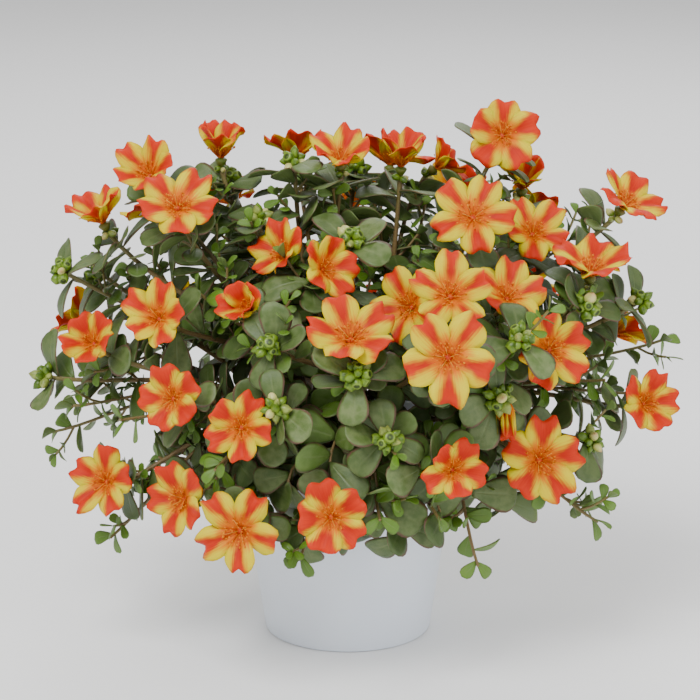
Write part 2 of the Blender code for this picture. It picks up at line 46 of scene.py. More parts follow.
import random

import bpy
import numpy as np
from mathutils import Matrix, Vector
from mathutils.bvhtree import BVHTree
from mathutils.kdtree import KDTree

MM = 0.001
bpy.ops.object.select_all(action="DESELECT")

# %% [markdown]
# ## Camera
#
# The photo looks a little down on the pot with a long lens. The same view is used twice: the camera
# stands there, and a place in the picture is turned into a place on the plant by running along the
# camera's ray until it is as deep as the flower is.

# %% The view, and the camera in it
VIEW_DISTANCE = 1.5
VIEW_ELEVATION = math.radians(15)
VIEW_FOCAL = 2655.0
VIEW_CENTRE = (350.0, 350.0)
VIEW_AIM = Vector((1.33 * MM, 0, 163.6 * MM))
PHOTO_WIDTH = 700
SENSOR = 36

view_back = Vector((0, -math.cos(VIEW_ELEVATION), math.sin(VIEW_ELEVATION)))
view_up = Vector((0, math.sin(VIEW_ELEVATION), math.cos(VIEW_ELEVATION)))
eye = VIEW_AIM + view_back * VIEW_DISTANCE
bpy.ops.object.camera_add(location=eye, rotation=(math.pi / 2 - VIEW_ELEVATION, 0, 0))
camera = bpy.context.object
camera.data.sensor_width = SENSOR
camera.data.lens = SENSOR * VIEW_FOCAL / PHOTO_WIDTH
bpy.context.scene.camera = camera


def seen_at(u, v, depth):
    """The point at picture place u, v that lies this deep behind the pot's axis."""
    across, down = (u - VIEW_CENTRE[0]) / VIEW_FOCAL, (v - VIEW_CENTRE[1]) / VIEW_FOCAL
    ray = Vector((1, 0, 0)) * across - view_up * down - view_back
    return eye + ray * ((depth - eye.y) / ray.y)


print("camera at", tuple(round(c, 3) for c in eye))

# %% [markdown]
# ## Studio
#
# The photo was taken on white with large soft lamps: nothing casts a hard shadow, and the pot is a
# touch brighter on its right. A white floor, a pale sky and three big area lamps give that light.

# %% Floor, sky and lamps
FLOOR_WIDTH = 24.0
FLOOR_WHITE = (0.93, 0.93, 0.93)
FLOOR_DROP = 0.4 * MM
SKY_LIGHT = 0.60
LAMP_AIM = Vector((0, 0, 0.15))
# Name, place, width and power
LAMPS = [
    ("key", (-0.8, -1.4, 2.1), 1.3, 70),
    ("fill", (1.6, -1.1, 1.1), 1.6, 22),
    ("back", (0.3, 1.6, 1.7), 1.4, 26),
]


def plain(name, colour, roughness, specular):
    """A material with one shader, ready for its pattern."""
    made = bpy.data.materials.new(name)
    made.use_nodes = True
    shader = made.node_tree.nodes["Principled BSDF"]
    shader.inputs["Base Color"].default_value = (*colour, 1)
    shader.inputs["Roughness"].default_value = roughness
    shader.inputs["Specular IOR Level"].default_value = specular
    return made


bpy.ops.mesh.primitive_plane_add(size=FLOOR_WIDTH, location=(0, 0, -FLOOR_DROP))
floor = bpy.context.object
floor.name = "studio_floor"
floor.data.materials.append(plain("studio_white", FLOOR_WHITE, 0.9, 0.1))

sky = bpy.data.worlds.new("studio_sky")
sky.use_nodes = True
sky.node_tree.nodes["Background"].inputs["Color"].default_value = (1, 1, 1, 1)
sky.node_tree.nodes["Background"].inputs["Strength"].default_value = SKY_LIGHT
bpy.context.scene.world = sky
for name, place, width, power in LAMPS:
    turn = (LAMP_AIM - Vector(place)).to_track_quat("-Z", "Y").to_euler()
    bpy.ops.object.light_add(type="AREA", location=place, rotation=turn)
    lamp = bpy.context.object
    lamp.name = name
    lamp.data.size = width
    lamp.data.energy = power
print("lamps:", len(LAMPS))

# %% [markdown]
# ## Helpers for materials
#
# Living tissue is never one flat colour. One shared node group makes cloudy mottling from two sizes of
# noise, and every finish but the petals' uses it with its own scales. The rest are small functions that
# add one node and wire it up, so that a material reads from top to bottom.


# %% Small node helpers
def node_in(tree, kind, **values):
    made = tree.nodes.new(kind)
    for key, value in values.items():
        setattr(made, key, value)
    return made


def feed(tree, value, target):
    """Wires a socket to an input, or sets the input to a plain number, a vector or a colour."""
    if isinstance(value, bpy.types.NodeSocket):
        tree.links.new(value, target)
    else:
        target.default_value = (*value, 1) if target.type == "RGBA" else value


def feed_all(tree, node, values):
    """Feeds several inputs of a node, found by name or number."""
    for key, value in values.items():
        feed(tree, value, node.inputs[key])


def feed_shader(tree, values):
    feed_all(tree, tree.nodes["Principled BSDF"], values)


def sum_up(tree, operation, *inputs, clamp=False):
    """A Math node whose inputs are sockets or plain numbers."""
    made = node_in(tree, "ShaderNodeMath", operation=operation, use_clamp=clamp)
    feed_all(tree, made, dict(enumerate(inputs)))
    return made.outputs[0]


def product(tree, one, other, clamp=False):
    return sum_up(tree, "MULTIPLY", one, other, clamp=clamp)


def scaled(tree, value, factor, offset):
    """The value times the factor, plus the offset."""
    return sum_up(tree, "MULTIPLY_ADD", value, factor, offset)


def inverse(tree, value):
    """One minus the value."""
    return sum_up(tree, "SUBTRACT", 1.0, value)


def ramp_between(tree, value, low, high):
    """0 below low, 1 above high, and a smooth step between."""
    made = node_in(tree, "ShaderNodeMapRange", interpolation_type="SMOOTHSTEP")
    feed_all(tree, made, {"Value": value, "From Min": low, "From Max": high})
    return made.outputs["Result"]


def ragged_step(tree, value, noise, amount, low, high):
    """A smooth step between low and high, whose edge this amount of noise pushes about."""
    return ramp_between(tree, scaled(tree, noise, amount, value), low, high)


def blend_colour(tree, mask, first, second):
    """Mixes two colours, each a socket or three numbers, by a mask."""
    made = node_in(tree, "ShaderNodeMix", data_type="RGBA")
    feed_all(tree, made, {0: mask, 6: first, 7: second})
    return made.outputs[2]


def attribute(tree, name):
    return node_in(tree, "ShaderNodeAttribute", attribute_name=name).outputs["Fac"]


def uv_parts(tree):
    """The two numbers of the UV map."""
    split = node_in(tree, "ShaderNodeSeparateXYZ")
    feed(tree, node_in(tree, "ShaderNodeTexCoord").outputs["UV"], split.inputs[0])
    return split.outputs[0], split.outputs[1]


def srgb(*shown):
    """A colour as a picture shows it, 0 to 255, turned into light."""
    return tuple(((c / 255 + 0.055) / 1.055) ** 2.4 if c > 10 else c / 255 / 12.92 for c in shown)


def make_mottle():
    """The shared group: cloudy mottling and fine grain on the surface, both 0 to 1."""
    group = bpy.data.node_groups.new("mottle", "ShaderNodeTree")
    for name, value in (("Cloud Scale", 120.0), ("Grain Scale", 1500.0)):
        socket = group.interface.new_socket(name, in_out="INPUT", socket_type="NodeSocketFloat")
        socket.default_value = value
    for name in ("Clouds", "Grain"):
        group.interface.new_socket(name, in_out="OUTPUT", socket_type="NodeSocketFloat")
    start = node_in(group, "NodeGroupInput")
    end = node_in(group, "NodeGroupOutput")
    place = node_in(group, "ShaderNodeTexCoord").outputs["Object"]
    for scale, detail, out in (("Cloud Scale", 3.0, "Clouds"), ("Grain Scale", 2.0, "Grain")):
        noise = node_in(group, "ShaderNodeTexNoise")
        feed_all(group, noise, {"Vector": place, "Scale": start.outputs[scale], "Detail": detail})
        feed(group, ramp_between(group, noise.outputs["Fac"], 0.3, 0.7), end.inputs[out])
    return group


MOTTLE = make_mottle()


def mottle(tree, clouds, grain):
    made = node_in(tree, "ShaderNodeGroup", node_tree=MOTTLE)
    feed_all(tree, made, {"Cloud Scale": clouds, "Grain Scale": grain})
    return made.outputs["Clouds"], made.outputs["Grain"]


def bumped(tree, height, strength, distance):
    """Feeds a height to the material's shader as relief."""
    bump = node_in(tree, "ShaderNodeBump")
    feed_all(tree, bump, {"Height": height, "Strength": strength, "Distance": distance})
    feed_shader(tree, {"Normal": bump.outputs["Normal"]})


print("node groups:", [group.name for group in bpy.data.node_groups])

# %% [markdown]
# ## Petal finish
#
# A petal is painted along its own length, so its colours follow its UV map: u runs from the heart to
# the tip and v across. The heart is orange, a red-orange stripe widens towards the tip, and bands that
# turn from gold to lemon run down both sides. Each flower carries a "redness" number, because some are
# nearly all red and some mostly yellow, and thin streaks along the petal break the edges of the bands.

# %% Paint for the petals
HEART_ORANGE = (0.66, 0.145, 0.0)
STRIPE_RED = (0.42, 0.013, 0.001)
# Coral: the red of the petal tips and rims, and partly a painted sheen on the red stripe.
STRIPE_CORAL_TIP_AND_SHEEN = (0.54, 0.030, 0.006)
BAND_GOLD = (0.64, 0.25, 0.0)
BAND_LEMON = (0.61, 0.44, 0.0)
BAND_PALE = (0.64, 0.53, 0.004)
# How often each noise changes along the petal, across it and from flower to flower
STREAK_SCALES = (1.6, 26.0, 40.0)
WOBBLE_SCALES = (3.0, 2.0, 90.0)
# How ragged each change of colour is, and where it starts and ends
HEART_STEP = (0.45, 0.24, 0.56)
GLOW_STEP = (0.5, 0.32, 0.66)
# Where the red stripe turns coral towards the tip: partly its own tint, partly a painted sheen.
CORAL_SHEEN_STEP = (0.5, 0.45, 1.0)
PALE_STEP = (0.6, 0.35, 0.95)
RIM_STEP = (0.4, 0.84, 1.02)


def petal_noise(tree, place, scales, detail):
    """Noise over a place on the petal, stretched by its scales."""
    stretched = node_in(tree, "ShaderNodeCombineXYZ")
    for socket, value, scale in zip(stretched.inputs, place, scales):
        feed(tree, product(tree, value, scale), socket)
    noise = node_in(tree, "ShaderNodeTexNoise")
    feed_all(tree, noise, {"Vector": stretched.outputs[0], "Scale": 1.0, "Detail": detail})
    return noise.outputs["Fac"]


def make_petal_finish():
    made = plain("petal_paint", BAND_LEMON, 0.55, 0.15)
    tree = made.node_tree
    along, across = uv_parts(tree)
    side = sum_up(tree, "ABSOLUTE", scaled(tree, across, 2.0, -1.0))
    redness, phase = attribute(tree, "redness"), attribute(tree, "phase")
    streaks = petal_noise(tree, (along, across, phase), STREAK_SCALES, 3.0)
    wobbles = petal_noise(tree, (along, across, phase), WOBBLE_SCALES, 2.0)
    streak, wobble = (sum_up(tree, "SUBTRACT", noise, 0.5) for noise in (streaks, wobbles))
    reach = product(tree, redness, sum_up(tree, "POWER", along, 2.2))
    half = sum_up(tree, "ADD", sum_up(tree, "ADD", reach, 0.17), product(tree, wobble, 0.45))
    ragged = sum_up(tree, "ADD", side, product(tree, streak, 0.34))
    low, high = sum_up(tree, "SUBTRACT", half, 0.20), sum_up(tree, "ADD", half, 0.24)
    stripe = inverse(tree, ramp_between(tree, ragged, low, high))
    # The red stripe turns coral towards the tip: partly its own tint, partly a painted sheen.
    red = blend_colour(tree, ragged_step(tree, along, streak, *CORAL_SHEEN_STEP), STRIPE_RED, STRIPE_CORAL_TIP_AND_SHEEN)
    lemon = blend_colour(tree, ragged_step(tree, side, streak, *PALE_STEP), BAND_LEMON, BAND_PALE)
    lemon = blend_colour(tree, ragged_step(tree, along, streak, *GLOW_STEP), BAND_GOLD, lemon)
    painted = blend_colour(tree, stripe, lemon, red)
    tip = ragged_step(tree, along, wobble, *RIM_STEP)
    rim = product(tree, tip, scaled(tree, redness, 1.3, -0.25), clamp=True)
    painted = blend_colour(tree, rim, painted, STRIPE_CORAL_TIP_AND_SHEEN)
    painted = blend_colour(tree, ragged_step(tree, along, streak, *HEART_STEP), HEART_ORANGE, painted)
    feed_shader(tree, {
        "Base Color": painted,
        "Subsurface Weight": 0.45,
        "Subsurface Radius": (1.0, 0.7, 0.2),
        "Subsurface Scale": 1.2 * MM,
    })
    bumped(tree, streaks, 0.35, 0.25 * MM)
    return made


PETAL_FINISH = make_petal_finish()
print("petal finish:", PETAL_FINISH.name)

# %% [markdown]
# ## Stamen, stigma and calyx finishes
#
# The heart of each flower is a dense brush of orange threads tipped with golden grains. They are so
# thin that a soft two-tone mottle is all the detail the eye can catch.

# %% Finishes for the flower's heart
# Two tones, scale of the clouds, roughness and depth of relief
HEART_TONES = {
    "stamen_thread": ((0.42, 0.024, 0.0), (0.58, 0.09, 0.0), 420, 0.5, 0),
    "stamen_grain": ((0.58, 0.12, 0.0), (0.70, 0.25, 0.0), 520, 0.7, 0),
    "stigma": ((0.70, 0.27, 0.02), (0.72, 0.38, 0.05), 300, 0.5, 0),
    "calyx": ((0.075, 0.125, 0.010), (0.150, 0.130, 0.022), 160, 0.45, 0.1 * MM),
}


def speckled(name, first, second, clouds, roughness, relief):
    """A finish that drifts between two tones, with fine grain in its roughness."""
    made = plain(name, first, roughness, 0.3)
    tree = made.node_tree
    cloud, grain = mottle(tree, clouds, clouds * 9)
    rough = scaled(tree, grain, 0.16, roughness - 0.08)
    feed_shader(tree, {"Base Color": blend_colour(tree, cloud, first, second), "Roughness": rough})
    if relief:
        bumped(tree, grain, 0.5, relief)
    return made


HEART_FINISHES = [speckled(name, *tones) for name, tones in HEART_TONES.items()]
FLOWER_FINISHES = [PETAL_FINISH] + HEART_FINISHES
PETAL_SLOT, THREAD_SLOT, GRAIN_SLOT, STIGMA_SLOT, CALYX_SLOT = range(len(FLOWER_FINISHES))
print("flower finishes:", [finish.name for finish in FLOWER_FINISHES])

# %% [markdown]
# ## Leaf finish
#
# Old leaves are grey-green and a bit bloomy, young ones bright green, and both have a thin purplish
# line round the edge. The leaf is modelled from a ball, so its UV map runs round the blade: the sine of
# u gives the place across, the cosine tells the paler underside from the upper side, and v falls from
# the root to the tip.

# %% Paint for the leaves
LEAF_OLD = (0.076, 0.124, 0.024)
LEAF_OLD_PALE = (0.155, 0.196, 0.072)
LEAF_DEEP = (0.032, 0.066, 0.008)
LEAF_YOUNG = (0.098, 0.205, 0.012)
LEAF_UNDER = (0.145, 0.205, 0.064)
EDGE_PURPLE = (0.150, 0.055, 0.045)


def make_leaf_finish():
    made = plain("leaf_paint", LEAF_OLD, 0.42, 0.4)
    tree = made.node_tree
    round_it, fall = uv_parts(tree)
    turn = product(tree, round_it, 2 * math.pi)
    across = sum_up(tree, "ABSOLUTE", sum_up(tree, "SINE", turn))
    under = ramp_between(tree, sum_up(tree, "COSINE", turn), 0.0, 0.3)
    along = inverse(tree, fall)
    youth, shade = attribute(tree, "youth"), attribute(tree, "shade")
    cloud, grain = mottle(tree, 210, 2300)
    old = blend_colour(tree, shade, LEAF_DEEP, LEAF_OLD)
    bloomy = product(tree, cloud, scaled(tree, shade, 0.75, 0.05))
    old = blend_colour(tree, bloomy, old, LEAF_OLD_PALE)
    colour = blend_colour(tree, youth, old, LEAF_YOUNG)
    rib = inverse(tree, ramp_between(tree, across, 0.0, 0.16))
    rib = product(tree, rib, inverse(tree, ramp_between(tree, along, 0.35, 0.85)))
    colour = blend_colour(tree, product(tree, rib, 0.35), colour, LEAF_OLD_PALE)
    colour = blend_colour(tree, product(tree, under, 0.8), colour, LEAF_UNDER)
    near_edge = ragged_step(tree, across, cloud, 0.06, 0.95, 1.02)
    edge = product(tree, near_edge, scaled(tree, youth, -0.6, 0.75), clamp=True)
    feed_shader(tree, {
        "Base Color": blend_colour(tree, edge, colour, EDGE_PURPLE),
        "Roughness": scaled(tree, cloud, 0.16, 0.36),
        "Subsurface Weight": 0.08,
        "Subsurface Radius": (0.5, 1.0, 0.2),
        "Subsurface Scale": 0.8 * MM,
    })
    relief = sum_up(tree, "ADD", product(tree, grain, 0.3), product(tree, rib, -1.0))
    bumped(tree, relief, 0.5, 0.3 * MM)
    return made


LEAF_FINISH = make_leaf_finish()
print("leaf finish:", LEAF_FINISH.name)

# %% [markdown]
# ## Stem and bud finishes
#
# Stems leave the soil purplish brown and turn olive, then green, further out. Object coordinates give
# the distance from the crown, so one gradient does for the whole plant. Buds are yellow-green, and a few
# big ones are about to open: those turn cream, with a flush of pink. An open pod has a painted highlight
# round its rim and painted shade in its hollow, with paler seed in its middle.

# %% Paint for stems and buds
STEM_BROWN = (0.105, 0.052, 0.024)
STEM_OLIVE = (0.165, 0.108, 0.036)
STEM_GREEN = (0.135, 0.135, 0.032)
STEM_STREAK = (0.290, 0.190, 0.095)
OLIVE_FROM = (0.04, 0.12)
GREEN_FROM = (0.13, 0.205)
SOIL_LEVEL = 106 * MM
BUD_GREEN = (0.24, 0.31, 0.04)
BUD_DEEP = (0.045, 0.100, 0.004)
BUD_LIGHT = (0.150, 0.250, 0.010)
BUD_SEAM = (0.040, 0.085, 0.006)
BUD_CREAM = (0.42, 0.46, 0.10)
BUD_CREAM_PALE = (0.62, 0.56, 0.22)
BUD_FLUSH = (0.50, 0.19, 0.10)
# Painted highlight: a lighter band just under the open pod's rim.
POD_RIM_PAINTED_HIGHLIGHT = (0.210, 0.320, 0.030)
# Painted shade: the dark inside of the open pod's hollow.
POD_INSIDE_PAINTED_SHADE = (0.030, 0.052, 0.005)
POD_SEED = (0.085, 0.150, 0.012)


def make_stem_finish():
    made = plain("stem_skin", STEM_OLIVE, 0.4, 0.4)
    tree = made.node_tree
    place = node_in(tree, "ShaderNodeTexCoord").outputs["Object"]
    reach = node_in(tree, "ShaderNodeVectorMath", operation="DISTANCE")
    feed_all(tree, reach, {0: place, 1: (0, 0, SOIL_LEVEL)})
    cloud, grain = mottle(tree, 160, 1300)
    drift = scaled(tree, cloud, 0.045, reach.outputs["Value"])
    colour = blend_colour(tree, ramp_between(tree, drift, *OLIVE_FROM), STEM_BROWN, STEM_OLIVE)
    colour = blend_colour(tree, ramp_between(tree, drift, *GREEN_FROM), colour, STEM_GREEN)
    colour = blend_colour(tree, product(tree, grain, 0.4), colour, STEM_STREAK)
    feed_shader(tree, {"Base Color": colour, "Roughness": scaled(tree, grain, 0.2, 0.32)})
    bumped(tree, grain, 0.4, 0.15 * MM)
    return made


def make_bud_finish():
    made = plain("bud_skin", BUD_GREEN, 0.38, 0.45)
    tree = made.node_tree
    round_it, rise = uv_parts(tree)
    blush, spent = attribute(tree, "blush"), attribute(tree, "spent")
    cloud, grain = mottle(tree, 300, 2000)
    colour = blend_colour(tree, cloud, BUD_DEEP, BUD_LIGHT)
    seam = sum_up(tree, "ABSOLUTE", sum_up(tree, "SINE", product(tree, round_it, 2 * math.pi)))
    seam = inverse(tree, ramp_between(tree, seam, 0.0, 0.16))
    colour = blend_colour(tree, product(tree, seam, 0.6), colour, BUD_SEAM)
    # The number that shows each layer, where it starts and ends on the way up, its strength and colour
    layers = [
        (blush, 0.22, 0.50, 1.0, blend_colour(tree, cloud, BUD_CREAM, BUD_CREAM_PALE)),
        (blush, 0.62, 0.95, 0.7, BUD_FLUSH),
        # Painted highlight under the pod's rim
        (spent, 0.68, 0.84, 0.7, POD_RIM_PAINTED_HIGHLIGHT),
        # Painted shade inside the pod's hollow
        (spent, 0.86, 0.92, 1.0, POD_INSIDE_PAINTED_SHADE),
        (spent, 0.945, 0.975, 1.0, POD_SEED),
    ]
    for number, low, high, strength, tone in layers:
        shown = product(tree, ramp_between(tree, rise, low, high), number)
        colour = blend_colour(tree, product(tree, shown, strength), colour, tone)
    feed_shader(tree, {"Base Color": colour, "Roughness": scaled(tree, grain, 0.2, 0.3)})
    bumped(tree, inverse(tree, seam), 0.5, 0.3 * MM)
    return made


STEM_FINISH = make_stem_finish()
BUD_FINISH = make_bud_finish()
print("stem and bud finishes ready")

# %% [markdown]
# ## Pot and soil finishes
#
# The pot is plain moulded plastic, a slightly cool white with a satin skin, so it only needs a faint
# cloudiness and a fine grain. Potting soil is dark peat with paler crumbs.

# %% Paint for the pot and the soil
POT_WHITE = srgb(232, 238, 246)
POT_SHADE = srgb(226, 233, 243)
SOIL_BROWN = srgb(52, 38, 28)
SOIL_DARK = srgb(34, 25, 18)
SOIL_WARM = srgb(66, 48, 34)
SOIL_CRUMB = srgb(92, 70, 50)
CRUMB_SCALE = 330


def make_pot_finish():
    made = plain("pot_white", POT_WHITE, 0.42, 0.4)
    tree = made.node_tree
    cloud, grain = mottle(tree, 14, 900)
    colour = blend_colour(tree, cloud, POT_WHITE, POT_SHADE)
    feed_shader(tree, {"Base Color": colour, "Roughness": scaled(tree, cloud, 0.06, 0.4)})
    bumped(tree, grain, 0.08, 0.05 * MM)
    return made


def make_soil_finish():
    made = plain("potting_soil", SOIL_BROWN, 0.95, 0.2)
    tree = made.node_tree
    cloud, grain = mottle(tree, 260, 800)
    crumbs = node_in(tree, "ShaderNodeTexVoronoi")
    place = node_in(tree, "ShaderNodeTexCoord").outputs["Object"]
    feed_all(tree, crumbs, {"Vector": place, "Scale": CRUMB_SCALE})
    apart = crumbs.outputs["Distance"]
    dark = blend_colour(tree, cloud, SOIL_DARK, SOIL_WARM)
    colour = blend_colour(tree, ramp_between(tree, apart, 0.05, 0.6), SOIL_CRUMB, dark)
    feed_shader(tree, {"Base Color": colour, "Roughness": scaled(tree, grain, 0.1, 0.88)})
    bumped(tree, sum_up(tree, "ADD", apart, grain), 1.0, 1.0 * MM)
    return made


POT_FINISH = make_pot_finish()
SOIL_FINISH = make_soil_finish()
print("materials so far:", len(bpy.data.materials))

# %% [markdown]
# ## Modelling
#
# Every master below starts as a primitive and is shaped in edit mode: some of its points are picked by
# place, and an operator moves or scales them. Small functions do the picking, the scaling and the
# leaving, and one shapes a ball row by row to a profile, which three of the masters need.


# %% Pick points and shape them
def pick(obj, chosen):
    """Enters edit mode on obj with just these points selected."""
    bpy.context.view_layer.objects.active = obj
    if bpy.context.mode != "OBJECT":
        bpy.ops.object.mode_set(mode="OBJECT")
    wanted = set(chosen)
    obj.data.polygons.foreach_set("select", [False] * len(obj.data.polygons))
    obj.data.edges.foreach_set("select", [False] * len(obj.data.edges))
    obj.data.vertices.foreach_set("select", [i in wanted for i in range(len(obj.data.vertices))])
    bpy.ops.object.mode_set(mode="EDIT")
    bpy.ops.mesh.select_mode(type="VERT")


def pick_all(obj):
    pick(obj, range(len(obj.data.vertices)))


def scale_points(obj, chosen, scale, centre):
    pick(obj, chosen)
    bpy.ops.transform.resize(value=scale, center_override=centre)


def done(obj):
    """Leaves edit mode and moves the object's place into its mesh."""
    if bpy.context.mode != "OBJECT":
        bpy.ops.object.mode_set(mode="OBJECT")
    bpy.ops.object.select_all(action="DESELECT")
    obj.select_set(True)
    bpy.context.view_layer.objects.active = obj
    bpy.ops.object.transform_apply(location=True, rotation=True, scale=True)


def rows_by(obj, axis):
    """The points of a fresh primitive, grouped by their place along one axis."""
    groups = {}
    for vert in obj.data.vertices:
        groups.setdefault(round(vert.co[axis], 4), []).append(vert.index)
    return groups


def new_ball(name, segments, rings):
    bpy.ops.mesh.primitive_uv_sphere_add(segments=segments, ring_count=rings, radius=1, location=(0, 0, 0))
    made = bpy.context.object
    made.name = name
    return made


def ball_to_profile(name, segments, rings, profile, flatness=1.0):
    """A ball whose rows are scaled to the radius that the profile gives at their height."""
    made = new_ball(name, segments, rings)
    for z, row in rows_by(made, 2).items():
        if abs(z) < 0.99:
            wanted = np.interp(z, list(profile), list(profile.values())) / math.sqrt(1 - z * z)
            scale_points(made, row, (wanted, wanted * flatness, 1), (0, 0, z))
    return made


def stand_up(obj):
    """Puts a ball's foot at the origin and makes it one unit tall."""
    pick_all(obj)
    bpy.ops.transform.translate(value=(0, 0, 1))
    bpy.ops.transform.resize(value=(1, 1, 0.5), center_override=(0, 0, 0))


def finish_master(obj):
    done(obj)
    bpy.ops.object.shade_smooth()
    print(obj.name, len(obj.data.polygons), "faces")


print("masters start here")

# %% [markdown]
# ## The petal
#
# A portulaca petal is a thin fan with a narrow foot, full round shoulders and a shallow notch in its
# tip. It could be drawn as a flat curve, but a grid keeps even rows that bend well later, and its UV
# map is just what the paint needs. Rows are scaled to the fan's width, columns to its tip.

# %% Shape one petal from a grid
PETAL_ROWS = 10
PETAL_COLUMNS = 10
PETAL_SKIN = 0.018
# Half the width at shares of the length
FAN = {0: 0.08, 0.15: 0.17, 0.3: 0.255, 0.45: 0.32, 0.6: 0.365, 0.75: 0.395, 0.88: 0.41, 1: 0.385}


def fan_width(v):
    """Half the petal's width at share v of its length, for a petal of length 1."""
    return float(np.interp(v, list(FAN), list(FAN.values())))


def fan_reach(u):
    """How far the petal reaches at place u across, from -1 to 1: notched, lobed, then rounded off."""
    a = abs(u)
    return 0.955 + 0.045 * math.sin(math.pi * a / 1.15) - 0.17 * a ** 6


bpy.ops.mesh.primitive_grid_add(
    x_subdivisions=PETAL_ROWS, y_subdivisions=PETAL_COLUMNS, size=1, location=(0, 0, 0)
)
petal = bpy.context.object
petal.name = "petal_master"
pick_all(petal)
bpy.ops.transform.translate(value=(0.5, 0, 0))
bpy.ops.object.mode_set(mode="OBJECT")
across_rows, along_rows = rows_by(petal, 1), rows_by(petal, 0)
for y, column in across_rows.items():
    scale_points(petal, column, (fan_reach(2 * y), 1, 1), (0, 0, 0))
for x, row in along_rows.items():
    scale_points(petal, row, (1, 2 * fan_width(x), 1), (0, 0, 0))
done(petal)
skin = petal.modifiers.new("skin", "SOLIDIFY")
skin.thickness = PETAL_SKIN
skin.offset = 0
bpy.ops.object.modifier_apply(modifier="skin")
bpy.ops.object.shade_smooth()
print("petal:", len(petal.data.polygons), "faces")

# %% [markdown]
# ## Stamen and stigma
#
# A stamen is a thin thread with a grain of pollen on top. A three-sided cone is plenty for the thread,
# with two cuts so that it can bow, and a small ball squeezed long makes the grain.

# %% Model one stamen
THREAD_RADIUS = 0.024
THREAD_TAPER = 0.7
THREAD_CUTS = (0.35, 0.68)
GRAIN_RADIUS = 0.080
GRAIN_SQUEEZE = (0.75, 0.75, 1.15)

bpy.ops.mesh.primitive_cone_add(
    vertices=3, radius1=THREAD_RADIUS, radius2=THREAD_RADIUS * THREAD_TAPER, depth=1, location=(0, 0, 0.5)
)
thread = bpy.context.object
thread.name = "thread_master"
done(thread)
for cut in THREAD_CUTS:
    pick_all(thread)
    bpy.ops.mesh.bisect(plane_co=(0, 0, cut), plane_no=(0, 0, 1))
finish_master(thread)

bpy.ops.mesh.primitive_ico_sphere_add(subdivisions=1, radius=GRAIN_RADIUS, location=(0, 0, 1))
grain_ball = bpy.context.object
grain_ball.name = "grain_master"
pick_all(grain_ball)
bpy.ops.transform.resize(value=GRAIN_SQUEEZE)
finish_master(grain_ball)

# %% [markdown]
# ## Calyx
#
# Under the petals a flower narrows to a short green neck. A ball is scaled row by row into a little
# funnel that ends in a point, where the flower sits on its stalk.

# %% Model the calyx
NECK = 6.5 * MM
NECK_ROWS = {-1: 0.0, -0.8: 0.20, -0.5: 0.34, 0.0: 0.50, 0.5: 0.62, 0.8: 0.5, 1: 0.0}

calyx = ball_to_profile("calyx_master", 10, 6, NECK_ROWS)
finish_master(calyx)

# %% [markdown]
# ## The leaf
#
# The leaves are spoon-shaped and fleshy: narrow at the foot, widest past the middle, round at the tip.
# A ball laid along its poles has just the right cross-section, a lens with soft edges, so each of its
# rings is moved to its place along the blade and scaled to the blade's width there.

# %% Shape one leaf from a ball
# Points round the blade and rings along it, for each master
LEAF_COUNTS = {"leaf_master": (8, 9), "leaflet_master": (8, 6)}
LEAF_HALF_THICKNESS = 0.034


def blade_width(s):
    """Half the blade's width at share s of its length, for a blade as wide as it is long."""
    return 0.75 * (s + 0.015) ** 0.9 * math.sqrt(max(0.0, 1 - s ** 4))


def ring_place(x):
    """Where a ring of the ball, at x from -1 to 1, comes along the blade: closer together at the tip."""
    t = math.acos(-x) / math.pi
    return 1 - (1 - t) ** 1.45


def model_leaf(name, segments, rings):
    made = new_ball(name, segments, rings)
    pick_all(made)
    bpy.ops.transform.rotate(value=math.pi / 2, orient_axis="Y", center_override=(0, 0, 0))
    done(made)
    for x, ring in rows_by(made, 0).items():
        s = ring_place(max(-1.0, min(1.0, x)))
        round_here = math.sqrt(max(1e-6, 1 - x * x))
        flesh = LEAF_HALF_THICKNESS * (0.55 + 0.45 * math.sin(math.pi * s ** 0.8))
        wide = (1, blade_width(s) / round_here, flesh / round_here)
        if abs(x) < 0.99:
            scale_points(made, ring, wide, (x, 0, 0))
        pick(made, ring)
        bpy.ops.transform.translate(value=(s - x, 0, 0))
    finish_master(made)
    return made


leaf, leaflet = (model_leaf(name, *counts) for name, counts in LEAF_COUNTS.items())

# %% [markdown]
# ## The bud
#
# Buds are plump drops with a pointed tip, two sepals folded over the petals. A ball is scaled row by
# row again, widest low down, and its top is drawn up.

# %% Model one bud
BUD_ROWS = {-1.0: 0.0, -0.75: 0.27, -0.2: 0.37, 0.3: 0.32, 0.7: 0.15, 1.0: 0.0}
BUD_FLATNESS = 0.88

bud = ball_to_profile("bud_master", 10, 8, BUD_ROWS, BUD_FLATNESS)
stand_up(bud)
finish_master(bud)

# %% [markdown]
# ## The pod
#
# Where a flower is over, a round green pod opens like a cup. It is the same ball, blunter, and its top
# point is pushed down inside to hollow it.

# %% Model one open pod
POD_ROWS = {-1.0: 0.0, -0.9: 0.16, -0.6: 0.36, -0.2: 0.46, 0.2: 0.47, 0.6: 0.42, 0.9: 0.33, 1.0: 0.0}
POD_HOLLOW = 0.55

pod = ball_to_profile("pod_master", 10, 7, POD_ROWS)
pick(pod, rows_by(pod, 2)[1.0])
bpy.ops.transform.translate(value=(0, 0, -POD_HOLLOW))
stand_up(pod)
finish_master(pod)

# %% [markdown]
# ## Gathering copies
#
# A flower has five petals and dozens of stamens, and a branch has dozens of leaves. Each copy has its
# own points, because each one is bent its own way, but a thousand objects would be slow to handle. So
# the copies that belong together are gathered into one mesh, with each copy's finish and numbers.


